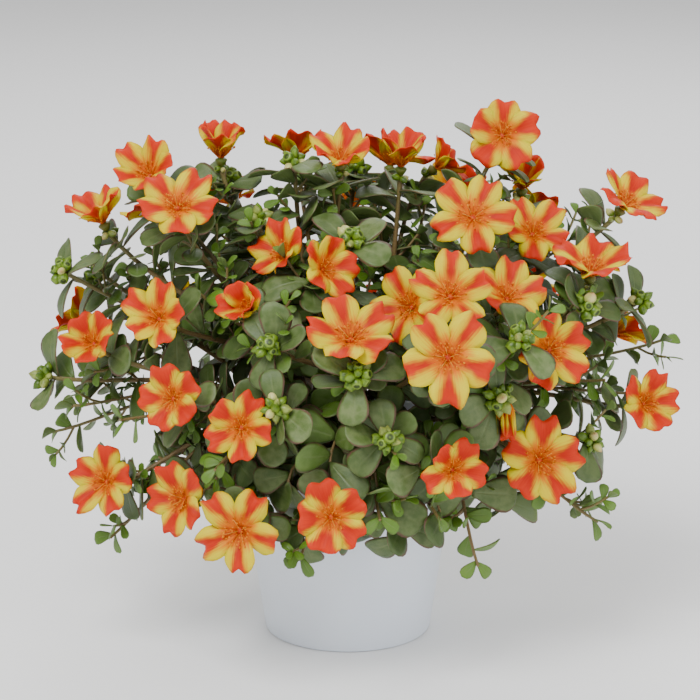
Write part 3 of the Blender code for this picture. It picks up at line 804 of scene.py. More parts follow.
# %% Read a master, and gather copies of it
class Master:
    """The points, faces and UV map of a modelled shape."""

    def __init__(self, obj):
        mesh = obj.data
        self.points = np.empty(len(mesh.vertices) * 3)
        mesh.vertices.foreach_get("co", self.points)
        self.points = self.points.reshape(-1, 3)
        self.corners = np.empty(len(mesh.loops), np.int32)
        mesh.loops.foreach_get("vertex_index", self.corners)
        self.sizes = np.empty(len(mesh.polygons), np.int32)
        mesh.polygons.foreach_get("loop_total", self.sizes)
        self.uv = np.zeros(len(mesh.loops) * 2)
        if mesh.uv_layers:
            mesh.uv_layers[0].data.foreach_get("uv", self.uv)
        self.place = np.zeros((len(mesh.vertices), 2))
        self.place[self.corners] = self.uv.reshape(-1, 2)


class Gathering:
    """Copies of masters on their way to becoming one piece."""

    def __init__(self, *numbers):
        self.parts = []
        self.numbers = {name: [] for name in numbers}
        self.count = 0

    def add(self, master, points, finish, **numbers):
        self.parts.append((master, points, finish, self.count))
        self.count += len(points)
        for name, values in self.numbers.items():
            values.append(np.full(len(points), numbers.get(name, 0.0)))

    def make(self, name, finishes):
        mesh = bpy.data.meshes.new(name)
        points = np.concatenate([part[1] for part in self.parts])
        corners = np.concatenate([part[0].corners + part[3] for part in self.parts])
        sizes = np.concatenate([part[0].sizes for part in self.parts])
        mesh.vertices.add(len(points))
        mesh.vertices.foreach_set("co", points.astype(np.float32).reshape(-1))
        mesh.loops.add(len(corners))
        mesh.loops.foreach_set("vertex_index", corners.astype(np.int32))
        mesh.polygons.add(len(sizes))
        mesh.polygons.foreach_set("loop_start", np.concatenate([[0], np.cumsum(sizes)[:-1]]).astype(np.int32))
        finish = np.concatenate([np.full(len(part[0].sizes), part[2]) for part in self.parts])
        mesh.polygons.foreach_set("material_index", finish.astype(np.int32))
        mesh.polygons.foreach_set("use_smooth", np.ones(len(sizes), bool))
        layer = mesh.uv_layers.new(name="UVMap")
        layer.data.foreach_set("uv", np.concatenate([part[0].uv for part in self.parts]).astype(np.float32))
        for key, values in self.numbers.items():
            kept = mesh.attributes.new(key, "FLOAT", "POINT")
            kept.data.foreach_set("value", np.concatenate(values).astype(np.float32))
        for material in finishes:
            mesh.materials.append(material)
        mesh.update()
        mesh.validate()
        obj = bpy.data.objects.new(name, mesh)
        bpy.context.scene.collection.objects.link(obj)
        return obj


MODELLED = [petal, thread, grain_ball, calyx, leaf, leaflet, bud, pod]
PETAL, THREAD, GRAIN, CALYX, LEAF, LEAFLET, BUD, POD = (Master(shape) for shape in MODELLED)
for used in MODELLED:
    bpy.data.objects.remove(used)
print("masters kept:", len(MODELLED))

# %% [markdown]
# ## The plant's plan
#
# These are the places and facings of the flowers, bud clusters and leafy tips, the same as in the
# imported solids. Those on the near side are given by their place in the picture and their depth; those on
# the far side, which no picture shows, by their direction on the mound.

# %% Heads on the near side, and directions on the far side
# Name, and the turn and rise of the way it leans
BRANCHES = [
    ("branch_01", 8, 14), ("branch_02", 52, 14), ("branch_03", 98, 16), ("branch_04", 146, 14),
    ("branch_05", 198, 14), ("branch_06", 250, 16), ("branch_07", 308, 14),
    ("branch_08", 20, 58), ("branch_09", 110, 60), ("branch_10", 205, 60), ("branch_11", 292, 60),
]
# Picture place, depth in mm, turn, tilt, width in mm, cup, spin, redness
SEEN_BLOOMS = [
    (221, 157, 30, 0, 8, 40, 0.75, 10, 0.65),
    (151, 177, -4, -20, 48, 42, 0.45, 40, 0.50),
    (178, 210, -40, 0, 42, 44, 0.20, 20, 0.55),
    (103, 222, -20, -60, 26, 40, 0.55, 0, 0.60),
    (341, 163, 0, 0, 32, 40, 0.50, 36, 0.60),
    (401, 166, 6, 20, 10, 40, 0.70, 0, 0.70),
    (436, 168, 34, 90, 55, 34, 0.50, 20, 0.75),
    (502, 136, -4, 0, 70, 39, 0.25, 50, 0.55),
    (522, 188, 30, 15, 22, 38, 0.70, 15, 0.40),
    (473, 219, -48, -5, 52, 45, 0.15, 30, 0.35),
    (532, 236, -16, 10, 46, 41, 0.35, 5, 0.50),
    (622, 208, 0, 60, 36, 44, 0.35, 60, 0.75),
    (590, 275, -42, 10, 14, 46, 0.30, 25, 0.70),
    (287, 256, -40, -45, 56, 38, 0.40, 0, 0.60),
    (321, 270, -66, 40, 66, 38, 0.35, 30, 0.60),
    (250, 310, -76, -28, 58, 34, 0.70, 15, 0.75),
    (160, 320, -62, -15, 60, 40, 0.40, 45, 0.50),
    (95, 345, -30, -20, 52, 37, 0.50, 25, 0.70),
    (351, 342, -112, 0, 36, 48, 0.20, 0, 0.50),
    (413, 308, -72, -35, 66, 42, 0.25, 20, 0.40),
    (450, 298, -98, 5, 52, 44, 0.20, 50, 0.35),
    (506, 300, -66, 15, 42, 41, 0.30, 35, 0.50),
    (448, 358, -134, 0, 72, 45, 0.10, 18, 0.35),
    (548, 350, -84, 20, 76, 42, 0.20, 60, 0.60),
    (642, 404, -24, 32, 66, 38, 0.35, 30, 0.70),
    (174, 399, -82, -15, 70, 36, 0.25, 0, 0.90),
    (242, 428, -106, -10, 72, 38, 0.25, 30, 0.70),
    (108, 482, -48, -28, 68, 40, 0.25, 55, 0.60),
    (186, 499, -84, -38, 78, 40, 0.30, 10, 0.60),
    (241, 530, -112, -15, 82, 44, 0.15, 25, 0.45),
    (331, 517, -118, 0, 78, 39, 0.20, 0, 0.90),
    (452, 470, -118, 10, 76, 36, 0.35, 22, 0.90),
    (538, 460, -84, 15, 78, 44, 0.15, 44, 0.55),
    (504, 400, -96, 10, 158, 38, 1.25, 0, 0.90),
]
# Picture place, depth in mm, turn, tilt
SEEN_BUDS = [
    (60, 270, -12, -65, 60), (258, 216, -18, 0, 20), (294, 158, 4, 5, 15), (349, 238, -52, 0, 35),
    (268, 346, -104, 0, 62), (276, 409, -116, 10, 70), (357, 374, -128, 0, 55), (388, 440, -124, 5, 70),
    (520, 338, -104, -10, 60), (500, 398, -104, 0, 70), (588, 303, -52, 25, 50), (642, 300, -24, 60, 48),
    (594, 440, -52, 45, 75), (43, 376, -10, -75, 70),
]
SEEN_TIPS = [
    (380, 214, 8, 10, 30), (427, 196, 20, 25, 25), (196, 290, -50, -30, 50), (128, 268, 14, -55, 45),
    (668, 338, 0, 80, 62), (605, 380, -34, 55, 80), (110, 538, -40, -40, 110), (52, 432, 6, -80, 95),
    (598, 522, -66, 48, 100), (478, 566, -98, 20, 120), (440, 520, -112, 10, 95), (380, 520, -118, 5, 95),
    (300, 560, -92, -8, 125), (120, 420, -62, -40, 85), (215, 470, -104, -15, 90), (575, 235, 24, 50, 40),
]
# Turn and rise on the mound
FAR_BLOOMS = [
    (108, 4), (138, 12), (166, 2), (194, 14), (222, 3), (252, 12),
    (122, 38), (152, 40), (182, 36), (212, 42), (240, 38),
    (164, 60), (212, 66),
]
FAR_BUDS = [(96, 24), (152, 22), (208, 26), (264, 26), (176, 60), (236, 58)]
FAR_TIPS = [(130, -12), (172, -10), (214, -14), (84, -6), (276, -12), (168, 22)]
PLAN = (SEEN_BLOOMS, SEEN_BUDS, SEEN_TIPS, FAR_BLOOMS, FAR_BUDS, FAR_TIPS)
print("heads:", sum(len(planned) for planned in PLAN))

# %% [markdown]
# ## From plan to places
#
# A head has a place and a facing. Each shoot runs from a main stem to its head along one smooth curve,
# and each main stem rises from the soil and leans towards the middle of its own heads.

# %% Work out every head
MOUND_CENTRE = Vector((0, 0, 150 * MM))
MOUND_RADII = Vector((160 * MM, 152 * MM, 122 * MM))
MOUND_SKIRT = 92 * MM


def facing(turn, tilt):
    """The unit vector that is turned from the viewer towards +X and tilted from upright."""
    t, a = math.radians(tilt), math.radians(turn)
    return Vector((math.sin(t) * math.sin(a), -math.sin(t) * math.cos(a), math.cos(t)))


def on_mound(turn, rise):
    d = facing(turn, 90 - rise)
    radii = MOUND_RADII if d.z > 0 else Vector((MOUND_RADII.x, MOUND_RADII.y, MOUND_SKIRT))
    return MOUND_CENTRE + Vector((d.x * radii.x, d.y * radii.y, d.z * radii.z))


def plan_heads():
    """Every shoot's end: its name, kind, place, facing, width, cup, spin and redness."""
    found = []
    for i, (u, v, depth, turn, tilt, width, cup, spin, red) in enumerate(SEEN_BLOOMS):
        place = seen_at(u, v, depth * MM)
        found.append((f"bloom_{i + 1:02d}", "bloom", place, facing(turn, tilt), width * MM, cup, spin, red))
    for kind, rows in (("buds", SEEN_BUDS), ("tip", SEEN_TIPS)):
        for i, (u, v, depth, turn, tilt) in enumerate(rows):
            place = seen_at(u, v, depth * MM)
            found.append((f"{kind}_{i + 1:02d}", kind, place, facing(turn, tilt), 0, 0, i * 40, 0))
    far = [
        ("bloom", FAR_BLOOMS, len(SEEN_BLOOMS)),
        ("buds", FAR_BUDS, len(SEEN_BUDS)),
        ("tip", FAR_TIPS, len(SEEN_TIPS)),
    ]
    for kind, rows, first in far:
        for i, (turn, rise) in enumerate(rows):
            rng = random.Random(f"far {kind} {i}")
            aim = (turn + rng.uniform(-4, 4), rise + rng.uniform(-3, 3))
            tilt = 62 - 0.62 * rise + rng.uniform(-8, 8)
            if kind == "tip":
                tilt += 18
            width = rng.uniform(38, 44) * MM if kind == "bloom" else 0
            look = facing(turn + rng.uniform(-12, 12), tilt)
            cup, spin = rng.uniform(0.15, 0.5), rng.uniform(0, 72)
            name = f"{kind}_{first + i + 1:02d}"
            found.append((name, kind, on_mound(*aim), look, width, cup, spin, rng.uniform(0.35, 0.85)))
    return found


HEADS = plan_heads()
print("planned:", len(HEADS), "heads")

# %% Run a shoot to each head
# How far from the axis a main stem leaves the soil: low branches further out
CROWN_REACH = {True: 27 * MM, False: 11 * MM}
LOW_RISE = 40
POT_HEIGHT = 118 * MM
SOIL_MOUND = 4 * MM
HOLE_DEPTH = 16 * MM
GAP = 0.3 * MM
MAIN_STEPS = 4
SHOOT_STEP = 26 * MM
FORK_PLACE = 0.36
FORK_CLEARANCE = 18 * MM
# The share of a main stem, below its end, from which shoots leave
FORKING_SHARE = 0.46


def crown_place(row):
    return Vector((0, 0, SOIL_LEVEL)) + facing(row[1], 90) * CROWN_REACH[row[2] < LOW_RISE]


def branch_of(place):
    out = (place - Vector((0, 0, SOIL_LEVEL))).normalized()
    return max(BRANCHES, key=lambda row: out.dot(facing(row[1], 90 - row[2])))


def hermite(p0, m0, p1, m1, s):
    a, b, c = s * s * (2 * s - 3) + 1, s * (s - 1) ** 2, s * s * (3 - 2 * s)
    return p0 * a + m0 * b + p1 * c + m1 * (s * s * (s - 1))


def along_path(points, share):
    at = min(max(share, 0), 0.9999) * (len(points) - 1)
    step = int(at)
    one, other = points[step], points[step + 1]
    return one.lerp(other, at - step), (other - one).normalized()


def path_length(points):
    return sum((b - a).length for a, b in zip(points, points[1:]))


def main_curve(row, ends):
    """The main stem above the soil, as a smooth curve."""
    crown = crown_place(row)
    middle = sum(ends, Vector()) / len(ends)
    fork = crown.lerp(middle, FORK_PLACE)
    fork.z = max(fork.z, POT_HEIGHT + FORK_CLEARANCE)
    rise = Vector((0, 0, 1)) * (fork - crown).length
    lean = (middle - crown).normalized() * (fork - crown).length
    risen = crown + Vector((0, 0, SOIL_MOUND + 2 * MM))
    return crown, (risen, rise, fork, lean)


def shoot_curve(main, share, head):
    place, look = head[2], head[3]
    start = along_path(main, share)[0]
    end = place - look * (NECK + GAP) if head[1] == "bloom" else place
    reach = (end - start).length
    out = (end - start).normalized()
    leave = (out * 0.75 + Vector((0, 0, 0.35))).normalized() * reach
    arrive = (look * 0.7 + out * 0.5).normalized() * reach * 0.9
    return (start, leave, end, arrive), max(3, round(reach / SHOOT_STEP))


BRANCH_HEADS = {row[0]: [] for row in BRANCHES}
for head in HEADS:
    BRANCH_HEADS[branch_of(head[2])[0]].append(head)
MAINS, SHOOTS = {}, []
for row in BRANCHES:
    mine = sorted(BRANCH_HEADS[row[0]], key=lambda head: -head[2].z)
    crown, curve = main_curve(row, [head[2] for head in BRANCH_HEADS[row[0]]])
    root = crown - Vector((0, 0, HOLE_DEPTH - 2 * GAP))
    coarse = [root] + [hermite(*curve, i / MAIN_STEPS) for i in range(MAIN_STEPS + 1)]
    MAINS[row[0]] = (root, curve)
    for k, head in enumerate(mine):
        share = 1 - FORKING_SHARE * (len(mine) - 1 - k) / len(mine)
        bend, steps = shoot_curve(coarse, share, head)
        path = [hermite(*bend, i / steps) for i in range(steps + 1)]
        SHOOTS.append((row[0], head, bend, path))
print("shoots:", len(SHOOTS), {name: len(heads) for name, heads in BRANCH_HEADS.items()})

# %% [markdown]
# ## Stems
#
# A stem is a curve with a round bevel. All of a branch's curves go into one curve object, each point
# with its own radius so that shoots taper, and the object is then converted to a mesh.

# %% Grow the stems
MAIN_RADIUS = 2.3 * MM
SHOOT_RADIUS = 1.45 * MM
TIP_RADIUS = 1.0 * MM
TWIG_RADIUS = 0.75 * MM
NECK_FLARE = 1.25
MAIN_FINE_STEPS = 8
FINE_STEPS = 12
EXTRA_TWIGS = {row[0]: [] for row in BRANCHES}


def add_line(data, points, radii):
    line = data.splines.new("POLY")
    line.points.add(len(points) - 1)
    for node, point, radius in zip(line.points, points, radii):
        node.co = (*point, 1)
        node.radius = radius


def grow_stems(name):
    bpy.ops.object.select_all(action="DESELECT")
    data = bpy.data.curves.new(name + "_lines", "CURVE")
    data.dimensions = "3D"
    data.bevel_depth = 1
    data.bevel_resolution = 2
    data.use_fill_caps = True
    root, curve = MAINS[name]
    fine = [root] + [hermite(*curve, i / MAIN_FINE_STEPS) for i in range(MAIN_FINE_STEPS + 1)]
    add_line(data, fine, [MAIN_RADIUS] * 3 + [MAIN_RADIUS * 0.9] * (len(fine) - 3))
    for owner, head, bend, _ in SHOOTS:
        if owner != name:
            continue
        thick = TIP_RADIUS if head[1] == "tip" else SHOOT_RADIUS
        points = [hermite(*bend, i / FINE_STEPS) for i in range(FINE_STEPS + 1)]
        radii = [thick * (1.15 - 0.3 * i / FINE_STEPS) for i in range(FINE_STEPS + 1)]
        if head[1] == "bloom":
            radii[-1] *= NECK_FLARE
        add_line(data, points, radii)
    for points in EXTRA_TWIGS[name]:
        add_line(data, points, [TWIG_RADIUS] * len(points))
    obj = bpy.data.objects.new(name + "_stems", data)
    bpy.context.scene.collection.objects.link(obj)
    obj.select_set(True)
    bpy.context.view_layer.objects.active = obj
    bpy.ops.object.convert(target="MESH")
    obj = bpy.context.object
    obj.data.materials.clear()
    obj.data.materials.append(STEM_FINISH)
    bpy.ops.object.shade_smooth()
    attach(obj, "root")
    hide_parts(name)
    return obj


# %% [markdown]
# ## Laying leaves
#
# A leaf copy keeps the master's outline but droops in an arc, folds up a little along its rib, and
# twists. The plan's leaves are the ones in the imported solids: the same seeded rule names their places,
# and a leaf that had to sidestep a flower there is found by looking for its tip among the solid's points.

# %% Bend a leaf into place
# Turns round the stem and changes of spread that a leaf tries, one after another
SIDESTEPS = [
    (0, 0), (28, 0), (-28, 0), (12, -24), (-14, -24), (56, -8), (-56, -8), (0, 22), (90, -10), (180, -10),
]
LEAF_ROOT = 0.8 * MM
# How far under a head its ring of three leaves sits, and the step between them, in mm
RING_BELOW = {"bloom": 9, "buds": 6}
RING_STEP = 2.2
SHOOT_LEAF_PLACE = 0.66


def leaf_frame(at, along, step, turn, spread):
    """The axes of a leaf on a stem: x runs out along the blade, z is its upper side."""
    side = along.cross(Vector((0, 0, 1)) if abs(along.z) < 0.9 else Vector((0, 1, 0))).normalized()
    out = Matrix.Rotation(math.radians(turn + step[0]), 3, along) @ side
    lean = math.radians(spread + step[1])
    x = (along * math.cos(lean) + out * math.sin(lean)).normalized()
    light = (Vector((0, 0, 0.7)) + facing(0, 90) * 0.1 + Vector((at.x, at.y, 0)).normalized() * 0.5)
    upper = along * 0.8 + light
    z = (upper - x * upper.dot(x)).normalized()
    y = z.cross(x)
    return Matrix((x, y, z)).transposed()


def bend_leaf(points, at, axes, size, ratio, droop, fold, twist):
    """The master's points, as numbers across the whole array, bent and moved to their place."""
    s, y, h = points[:, 0], points[:, 1] * size * ratio, points[:, 2] * size
    bend = max(droop, 1e-3)
    x = size * np.sin(bend * s) / bend
    z = -size * (1 - np.cos(bend * s)) / bend
    x = x + h * np.sin(bend * s)
    lift = fold * np.abs(y) * np.abs(y) / (np.abs(y) + 0.04 * size) + h * np.cos(bend * s)
    turn = twist * s
    across = y * np.cos(turn) - lift * np.sin(turn)
    rise = z + y * np.sin(turn) + lift * np.cos(turn)
    local = np.stack([x, across, rise], 1)
    return local @ np.array(axes).T + np.array(at)


def leaf_tip(at, axes, size, droop):
    bend = max(droop, 1e-3)
    return at + axes @ Vector((size * math.sin(bend) / bend, 0, -size * (1 - math.cos(bend)) / bend))


def leaf_slots(head, length):
    """The leaves of one shoot: place along it, turn round it, size, and how the blade is bent."""
    name, kind = head[:2]
    rng = random.Random("leaves " + name)
    slots = []
    first = rng.uniform(0, 360)
    if kind in RING_BELOW:
        under = 1 - RING_BELOW[kind] * MM / length
        for i in range(3):
            turn = first + i * 120 + rng.uniform(-18, 18)
            size = rng.uniform(23, 30)
            place = under - i * RING_STEP * MM / length
            slots.append((place, turn, size, rng.uniform(0.60, 0.74), rng.uniform(58, 84)))
        sizes = (20, 27)
    else:
        slots.append((0.97, first, rng.uniform(12, 15), 0.58, 38))
        slots.append((0.96, first + 180, rng.uniform(11, 15), 0.58, 44))
        sizes = (13, 19)
    turn = first + 60 + rng.uniform(-15, 15)
    size = rng.uniform(*sizes)
    place = SHOOT_LEAF_PLACE + rng.uniform(-0.03, 0.03)
    slots.append((place, turn, size, rng.uniform(0.54, 0.68), rng.uniform(48, 72)))
    bent = []
    for place, turn, size, ratio, spread in slots:
        droop, fold, twist = rng.uniform(0.1, 0.9), rng.uniform(0.08, 0.3), rng.uniform(-0.5, 0.5)
        bent.append((place, turn, size * MM, ratio, spread, droop, fold, twist))
    return bent


def tip_finder(name):
    points = [v.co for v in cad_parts[name].data.vertices]
    tree = KDTree(len(points))
    for i, point in enumerate(points):
        tree.insert(point, i)
    tree.balance()
    return tree


TIP_TREES = {row[0]: tip_finder(row[0]) for row in BRANCHES}
TIP_YOUTH = 0.75
SAME_POINT = 0.1 * MM
LEAVES = {row[0]: [] for row in BRANCHES}
missed = 0
for owner, head, bend, path in SHOOTS:
    for slot in leaf_slots(head, path_length(path)):
        s, turn, size, ratio, spread, droop, fold, twist = slot
        at, along = along_path(path, s)
        for step in SIDESTEPS:
            axes = leaf_frame(at, along, step, turn, spread)
            if TIP_TREES[owner].find(leaf_tip(at, axes, size, droop))[2] < SAME_POINT:
                break
        else:
            missed += 1
            continue
        smooth = hermite(*bend, s)
        youth = TIP_YOUTH if head[1] == "tip" else 0.0
        LEAVES[owner].append((smooth - axes.col[0] * LEAF_ROOT, axes, size, ratio, droop, fold, twist, youth))
print("leaves of the plan:", sum(len(rows) for rows in LEAVES.values()), "not found:", missed)

# %% [markdown]
# ## More leaves
#
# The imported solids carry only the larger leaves. A real mound is closed: leaves fill every gap down to
# the soil. More of them are laid along each shoot, and small bright ones on short side twigs. A leaf that
# would cut through a flower or a close neighbour steps aside, and is left out if it can't.

# %% Fill the mound
LEAF_RIM = [(0.0, 0), (0.48, -1), (0.86, -1), (1.0, 0), (0.86, 1), (0.48, 1)]
LEAF_RIM_FACES = [(0, 1, 5), (1, 2, 4, 5), (2, 3, 4)]
# Nearer the stem than this share of its length, a leaf may touch others
CROWDED_FROM = 0.3
FREEZE_EVERY = 60


def sphere_round(points, middle):
    """A ball that holds all the points: its middle and how far it reaches."""
    return middle, float(np.sqrt(((points - middle) ** 2).sum(1)).max())


def coarse_leaf(at, axes, size, ratio, droop, fold, twist):
    """A flat six-sided stand-in for a leaf, to test what it would cut."""
    rim = []
    for s, t in LEAF_RIM:
        s = CROWDED_FROM + (1 - CROWDED_FROM) * s
        rim.append((s, t * blade_width(s), 0.0))
    points = bend_leaf(np.array(rim), at, axes, size, ratio, droop, fold, twist)
    return BVHTree.FromPolygons(points.tolist(), LEAF_RIM_FACES), *sphere_round(points, points.mean(0))


def cad_tree(name):
    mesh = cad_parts[name].data
    points = np.array([v.co for v in mesh.vertices])
    tree = BVHTree.FromPolygons(points.tolist(), [p.vertices[:] for p in mesh.polygons])
    return tree, *sphere_round(points, (points.min(0) + points.max(0)) / 2)


class Crowd:
    """Everything that a new leaf must keep clear of, with a quick test by distance first."""

    def __init__(self):
        self.trees, self.middles, self.reaches = [], [], []

    def add(self, shape):
        self.trees.append(shape[0])
        self.middles.append(shape[1])
        self.reaches.append(shape[2])

    def freeze(self):
        self.known = (np.array(self.middles), np.array(self.reaches), len(self.trees))

    def free(self, shape):
        tree, middle, reach = shape
        middles, reaches, count = self.known
        near = np.nonzero(((middles - middle) ** 2).sum(1) < (reaches + reach) ** 2)[0]
        if any(tree.overlap(self.trees[i]) for i in near):
            return False
        for i in range(count, len(self.trees)):
            if np.sum((self.middles[i] - middle) ** 2) < (self.reaches[i] + reach) ** 2:
                if tree.overlap(self.trees[i]):
                    return False
        return True


crowd = Crowd()
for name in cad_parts:
    if name.startswith("bloom") or name == "pot":
        crowd.add(cad_tree(name))
for laid_leaves in LEAVES.values():
    for laid_leaf in laid_leaves:
        crowd.add(coarse_leaf(*laid_leaf[:7]))
crowd.freeze()


def try_leaf(owner, at, along, turn, spread, size, ratio, droop, fold, twist, youth, roll=0):
    """Adds a leaf if it or a turned copy of it finds room. Roll turns it about its own length."""
    for step in SIDESTEPS:
        axes = leaf_frame(at, along, step, turn, spread) @ Matrix.Rotation(math.radians(roll), 3, "X")
        shape = coarse_leaf(at, axes, size, ratio, droop, fold, twist)
        if crowd.free(shape):
            crowd.add(shape)
            if len(crowd.trees) % FREEZE_EVERY == 0:
                crowd.freeze()
            LEAVES[owner].append((at - axes.col[0] * LEAF_ROOT, axes, size, ratio, droop, fold, twist, youth))
            return True
    return False


def smooth_at(bend, s):
    """A point of a shoot's curve, and the way it runs there."""
    here = hermite(*bend, s)
    ahead, behind = hermite(*bend, min(1, s + 0.02)), hermite(*bend, max(0, s - 0.02))
    return here, (ahead - behind).normalized()


LEAF_SPACING = 10 * MM
TIP_LEAF_SCALE = 0.62

laid = 0
for owner, head, bend, path in SHOOTS:
    rng = random.Random("more leaves " + head[0])
    at_tip = head[1] == "tip"
    count = max(2, round(path_length(path) / LEAF_SPACING))
    for i in range(count):
        s = 0.2 + 0.72 * (i + rng.uniform(0.1, 0.9)) / count
        at, along = smooth_at(bend, s)
        size = rng.uniform(17, 29) * MM * (TIP_LEAF_SCALE if at_tip else 1)
        youth = 0.8 if at_tip else max(0.0, rng.uniform(-0.6, 0.5))
        laid += try_leaf(
            owner, at, along, rng.uniform(0, 360), rng.uniform(50, 85), size, rng.uniform(0.56, 0.7),
            rng.uniform(0.1, 0.8), rng.uniform(0.08, 0.3), rng.uniform(-0.4, 0.4), youth,
            rng.uniform(-60, 60),
        )
print("more leaves:", laid)

# %% [markdown]
# ## The skirt
#
# Large old leaves hang over the pot's rim and hide it. They grow on short stems that leave the main
# stems above the rim, arch over it and droop. Those in front end where the picture shows them; the
# others follow round the pot at even steps.

# %% Hang leaves over the rim
SKIRT_SEEN = [
    (303, 538, -84), (352, 532, -92), (404, 536, -88), (378, 496, -106), (440, 512, -90),
    (262, 512, -88), (330, 462, -106), (420, 468, -110), (288, 482, -98), (232, 486, -84), (470, 492, -88),
]
SKIRT_TURNS = range(48, 330, 17)
SKIRT_LEAVES = 8
SKIRT_STEPS = 8
SKIRT_ROOT = 0.8
BARE_SHARE = 0.42


def skirt_line(end, owner):
    """A short stem from above the rim, over it and down to its end."""
    start = smooth_at(MAINS[owner][1], SKIRT_ROOT)[0]
    out = Vector((end.x, end.y, 0)).normalized()
    reach = (end - start).length
    leave = (out * 0.8 + Vector((0, 0, 0.45))) * reach
    arrive = (out * 0.35 - Vector((0, 0, 0.8))) * reach
    return [hermite(start, leave, end, arrive, i / SKIRT_STEPS) for i in range(SKIRT_STEPS + 1)]


skirt_ends = [seen_at(u, v, depth * MM) for u, v, depth in SKIRT_SEEN]
skirt_rng = random.Random("skirt")
for turn in SKIRT_TURNS:
    reach = skirt_rng.uniform(82, 98) * MM
    skirt_ends.append(facing(turn, 90) * reach + Vector((0, 0, skirt_rng.uniform(82, 112) * MM)))
laid = 0
for end in skirt_ends:
    owner = branch_of(end)[0]
    line = skirt_line(end, owner)
    first = skirt_rng.uniform(0, 360)
    for n in range(SKIRT_LEAVES):
        q = BARE_SHARE + (1 - BARE_SHARE) * n / (SKIRT_LEAVES - 1)
        at, along = along_path(line, q)
        laid += try_leaf(
            owner, at, along, first + 180 * (n % 2) + 74 * (n // 2), skirt_rng.uniform(52, 78),
            skirt_rng.uniform(20, 30) * MM, skirt_rng.uniform(0.66, 0.84), skirt_rng.uniform(0.1, 0.6),
            skirt_rng.uniform(0.06, 0.2), skirt_rng.uniform(-0.3, 0.3),
            max(0.0, skirt_rng.uniform(-0.8, 0.4)),
        )
    EXTRA_TWIGS[owner].append(line)
print("skirt leaves:", laid)

# %% Small bright side twigs
TWIG_SPACING = 38 * MM
TWIG_SPREAD = 48
TWIG_RISE = 0.25
TWIG_POINTS = (0, 0.35, 0.7, 1)
# Places of a twig's leaves along it, in pairs, and how far those at its end and its sides spread
TWIG_PLACES = (1.0, 1.0, 0.8, 0.8, 0.5, 0.5)
END_SPREAD = 30
SIDE_SPREAD = 62

for owner, head, bend, path in SHOOTS:
    rng = random.Random("twigs " + head[0])
    for i in range(max(1, round(path_length(path) / TWIG_SPACING))):
        at, along = smooth_at(bend, rng.uniform(0.3, 0.88))
        way = leaf_frame(at, along, (0, 0), rng.uniform(0, 360), TWIG_SPREAD).col[0]
        reach = rng.uniform(12, 24) * MM
        twig = [at + way * reach * q + Vector((0, 0, 1)) * reach * TWIG_RISE * q * q for q in TWIG_POINTS]
        grown = 0
        first = rng.uniform(0, 360)
        for n, q in enumerate(TWIG_PLACES):
            here, run = along_path(twig, q)
            size = rng.uniform(8, 12.5) * MM * (1.15 - 0.25 * q)
            spread = END_SPREAD if q == 1 else SIDE_SPREAD
            grown += try_leaf(
                owner, here, run, first + 180 * (n % 2) + 70 * (n // 2), spread + rng.uniform(-8, 8), size,
                rng.uniform(0.52, 0.62), rng.uniform(0.1, 0.6), 0.2, rng.uniform(-0.2, 0.2),
                rng.uniform(0.7, 1.0), rng.uniform(-50, 50),
            )
        if grown:
            EXTRA_TWIGS[owner].append(twig)
print("twigs:", sum(len(twigs) for twigs in EXTRA_TWIGS.values()))
print("leaves in all:", sum(len(laid_leaves) for laid_leaves in LEAVES.values()))

# %% Make the stems and the leaves of each branch
LEAFLET_BELOW = 15 * MM

for row in BRANCHES:
    grow_stems(row[0])
    foliage = Gathering("youth", "shade")
    rng = random.Random("shades " + row[0])
    for at, axes, size, ratio, droop, fold, twist, youth in LEAVES[row[0]]:
        master = LEAF if size > LEAFLET_BELOW else LEAFLET
        points = bend_leaf(master.points, at, axes, size, ratio, droop, fold, twist)
        foliage.add(master, points, 0, youth=youth, shade=rng.uniform(0.15, 1.0))
    piece = foliage.make(row[0] + "_leaves", [LEAF_FINISH])
    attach(piece, "root")
    print(piece.name, len(piece.data.polygons), "faces")

# %% [markdown]
# ## Buds and pods
#
# Each cluster is a tight handful of buds and pods of mixed sizes round its shoot's end, one of them
# pointing ahead. A few small ones also sit round the neck of every open flower, waiting their turn.
# They stay with their branch as one piece.

# %% Set the clusters
BUD_LENGTH = 8.5 * MM
POD_SCALE = 0.86
CLUSTER = 11
CLUSTER_TURN = 2.4
NECK_BUDS = 4
NECK_TURN = 1.57
# What share of a cluster is pods, and how ripe its buds are: each is picked at random
OPEN_SHARES = [0.1, 0.3, 0.6]
NECK_OPEN_SHARE = 0.3
RIPENESS = [0.0, 0.0, 0.0, 0.25, 1.0]


def lay_bud(handful, foot, way, length, rng, open_share):
    """Adds one bud, or now and then a pod, that stands on its foot and points its own way."""
    spent = rng.random() < open_share
    ripe = 0.0 if spent else rng.choice(RIPENESS)
    master = POD if spent else BUD
    length *= POD_SCALE if spent else 1 + 0.16 * ripe
    axes = np.array(way.to_track_quat("Z", "Y").to_matrix() @ Matrix.Rotation(rng.uniform(0, 6), 3, "Z"))
    points = (master.points * length) @ axes.T + np.array(foot)
    handful.add(master, points, 0, blush=ripe, spent=float(spent))


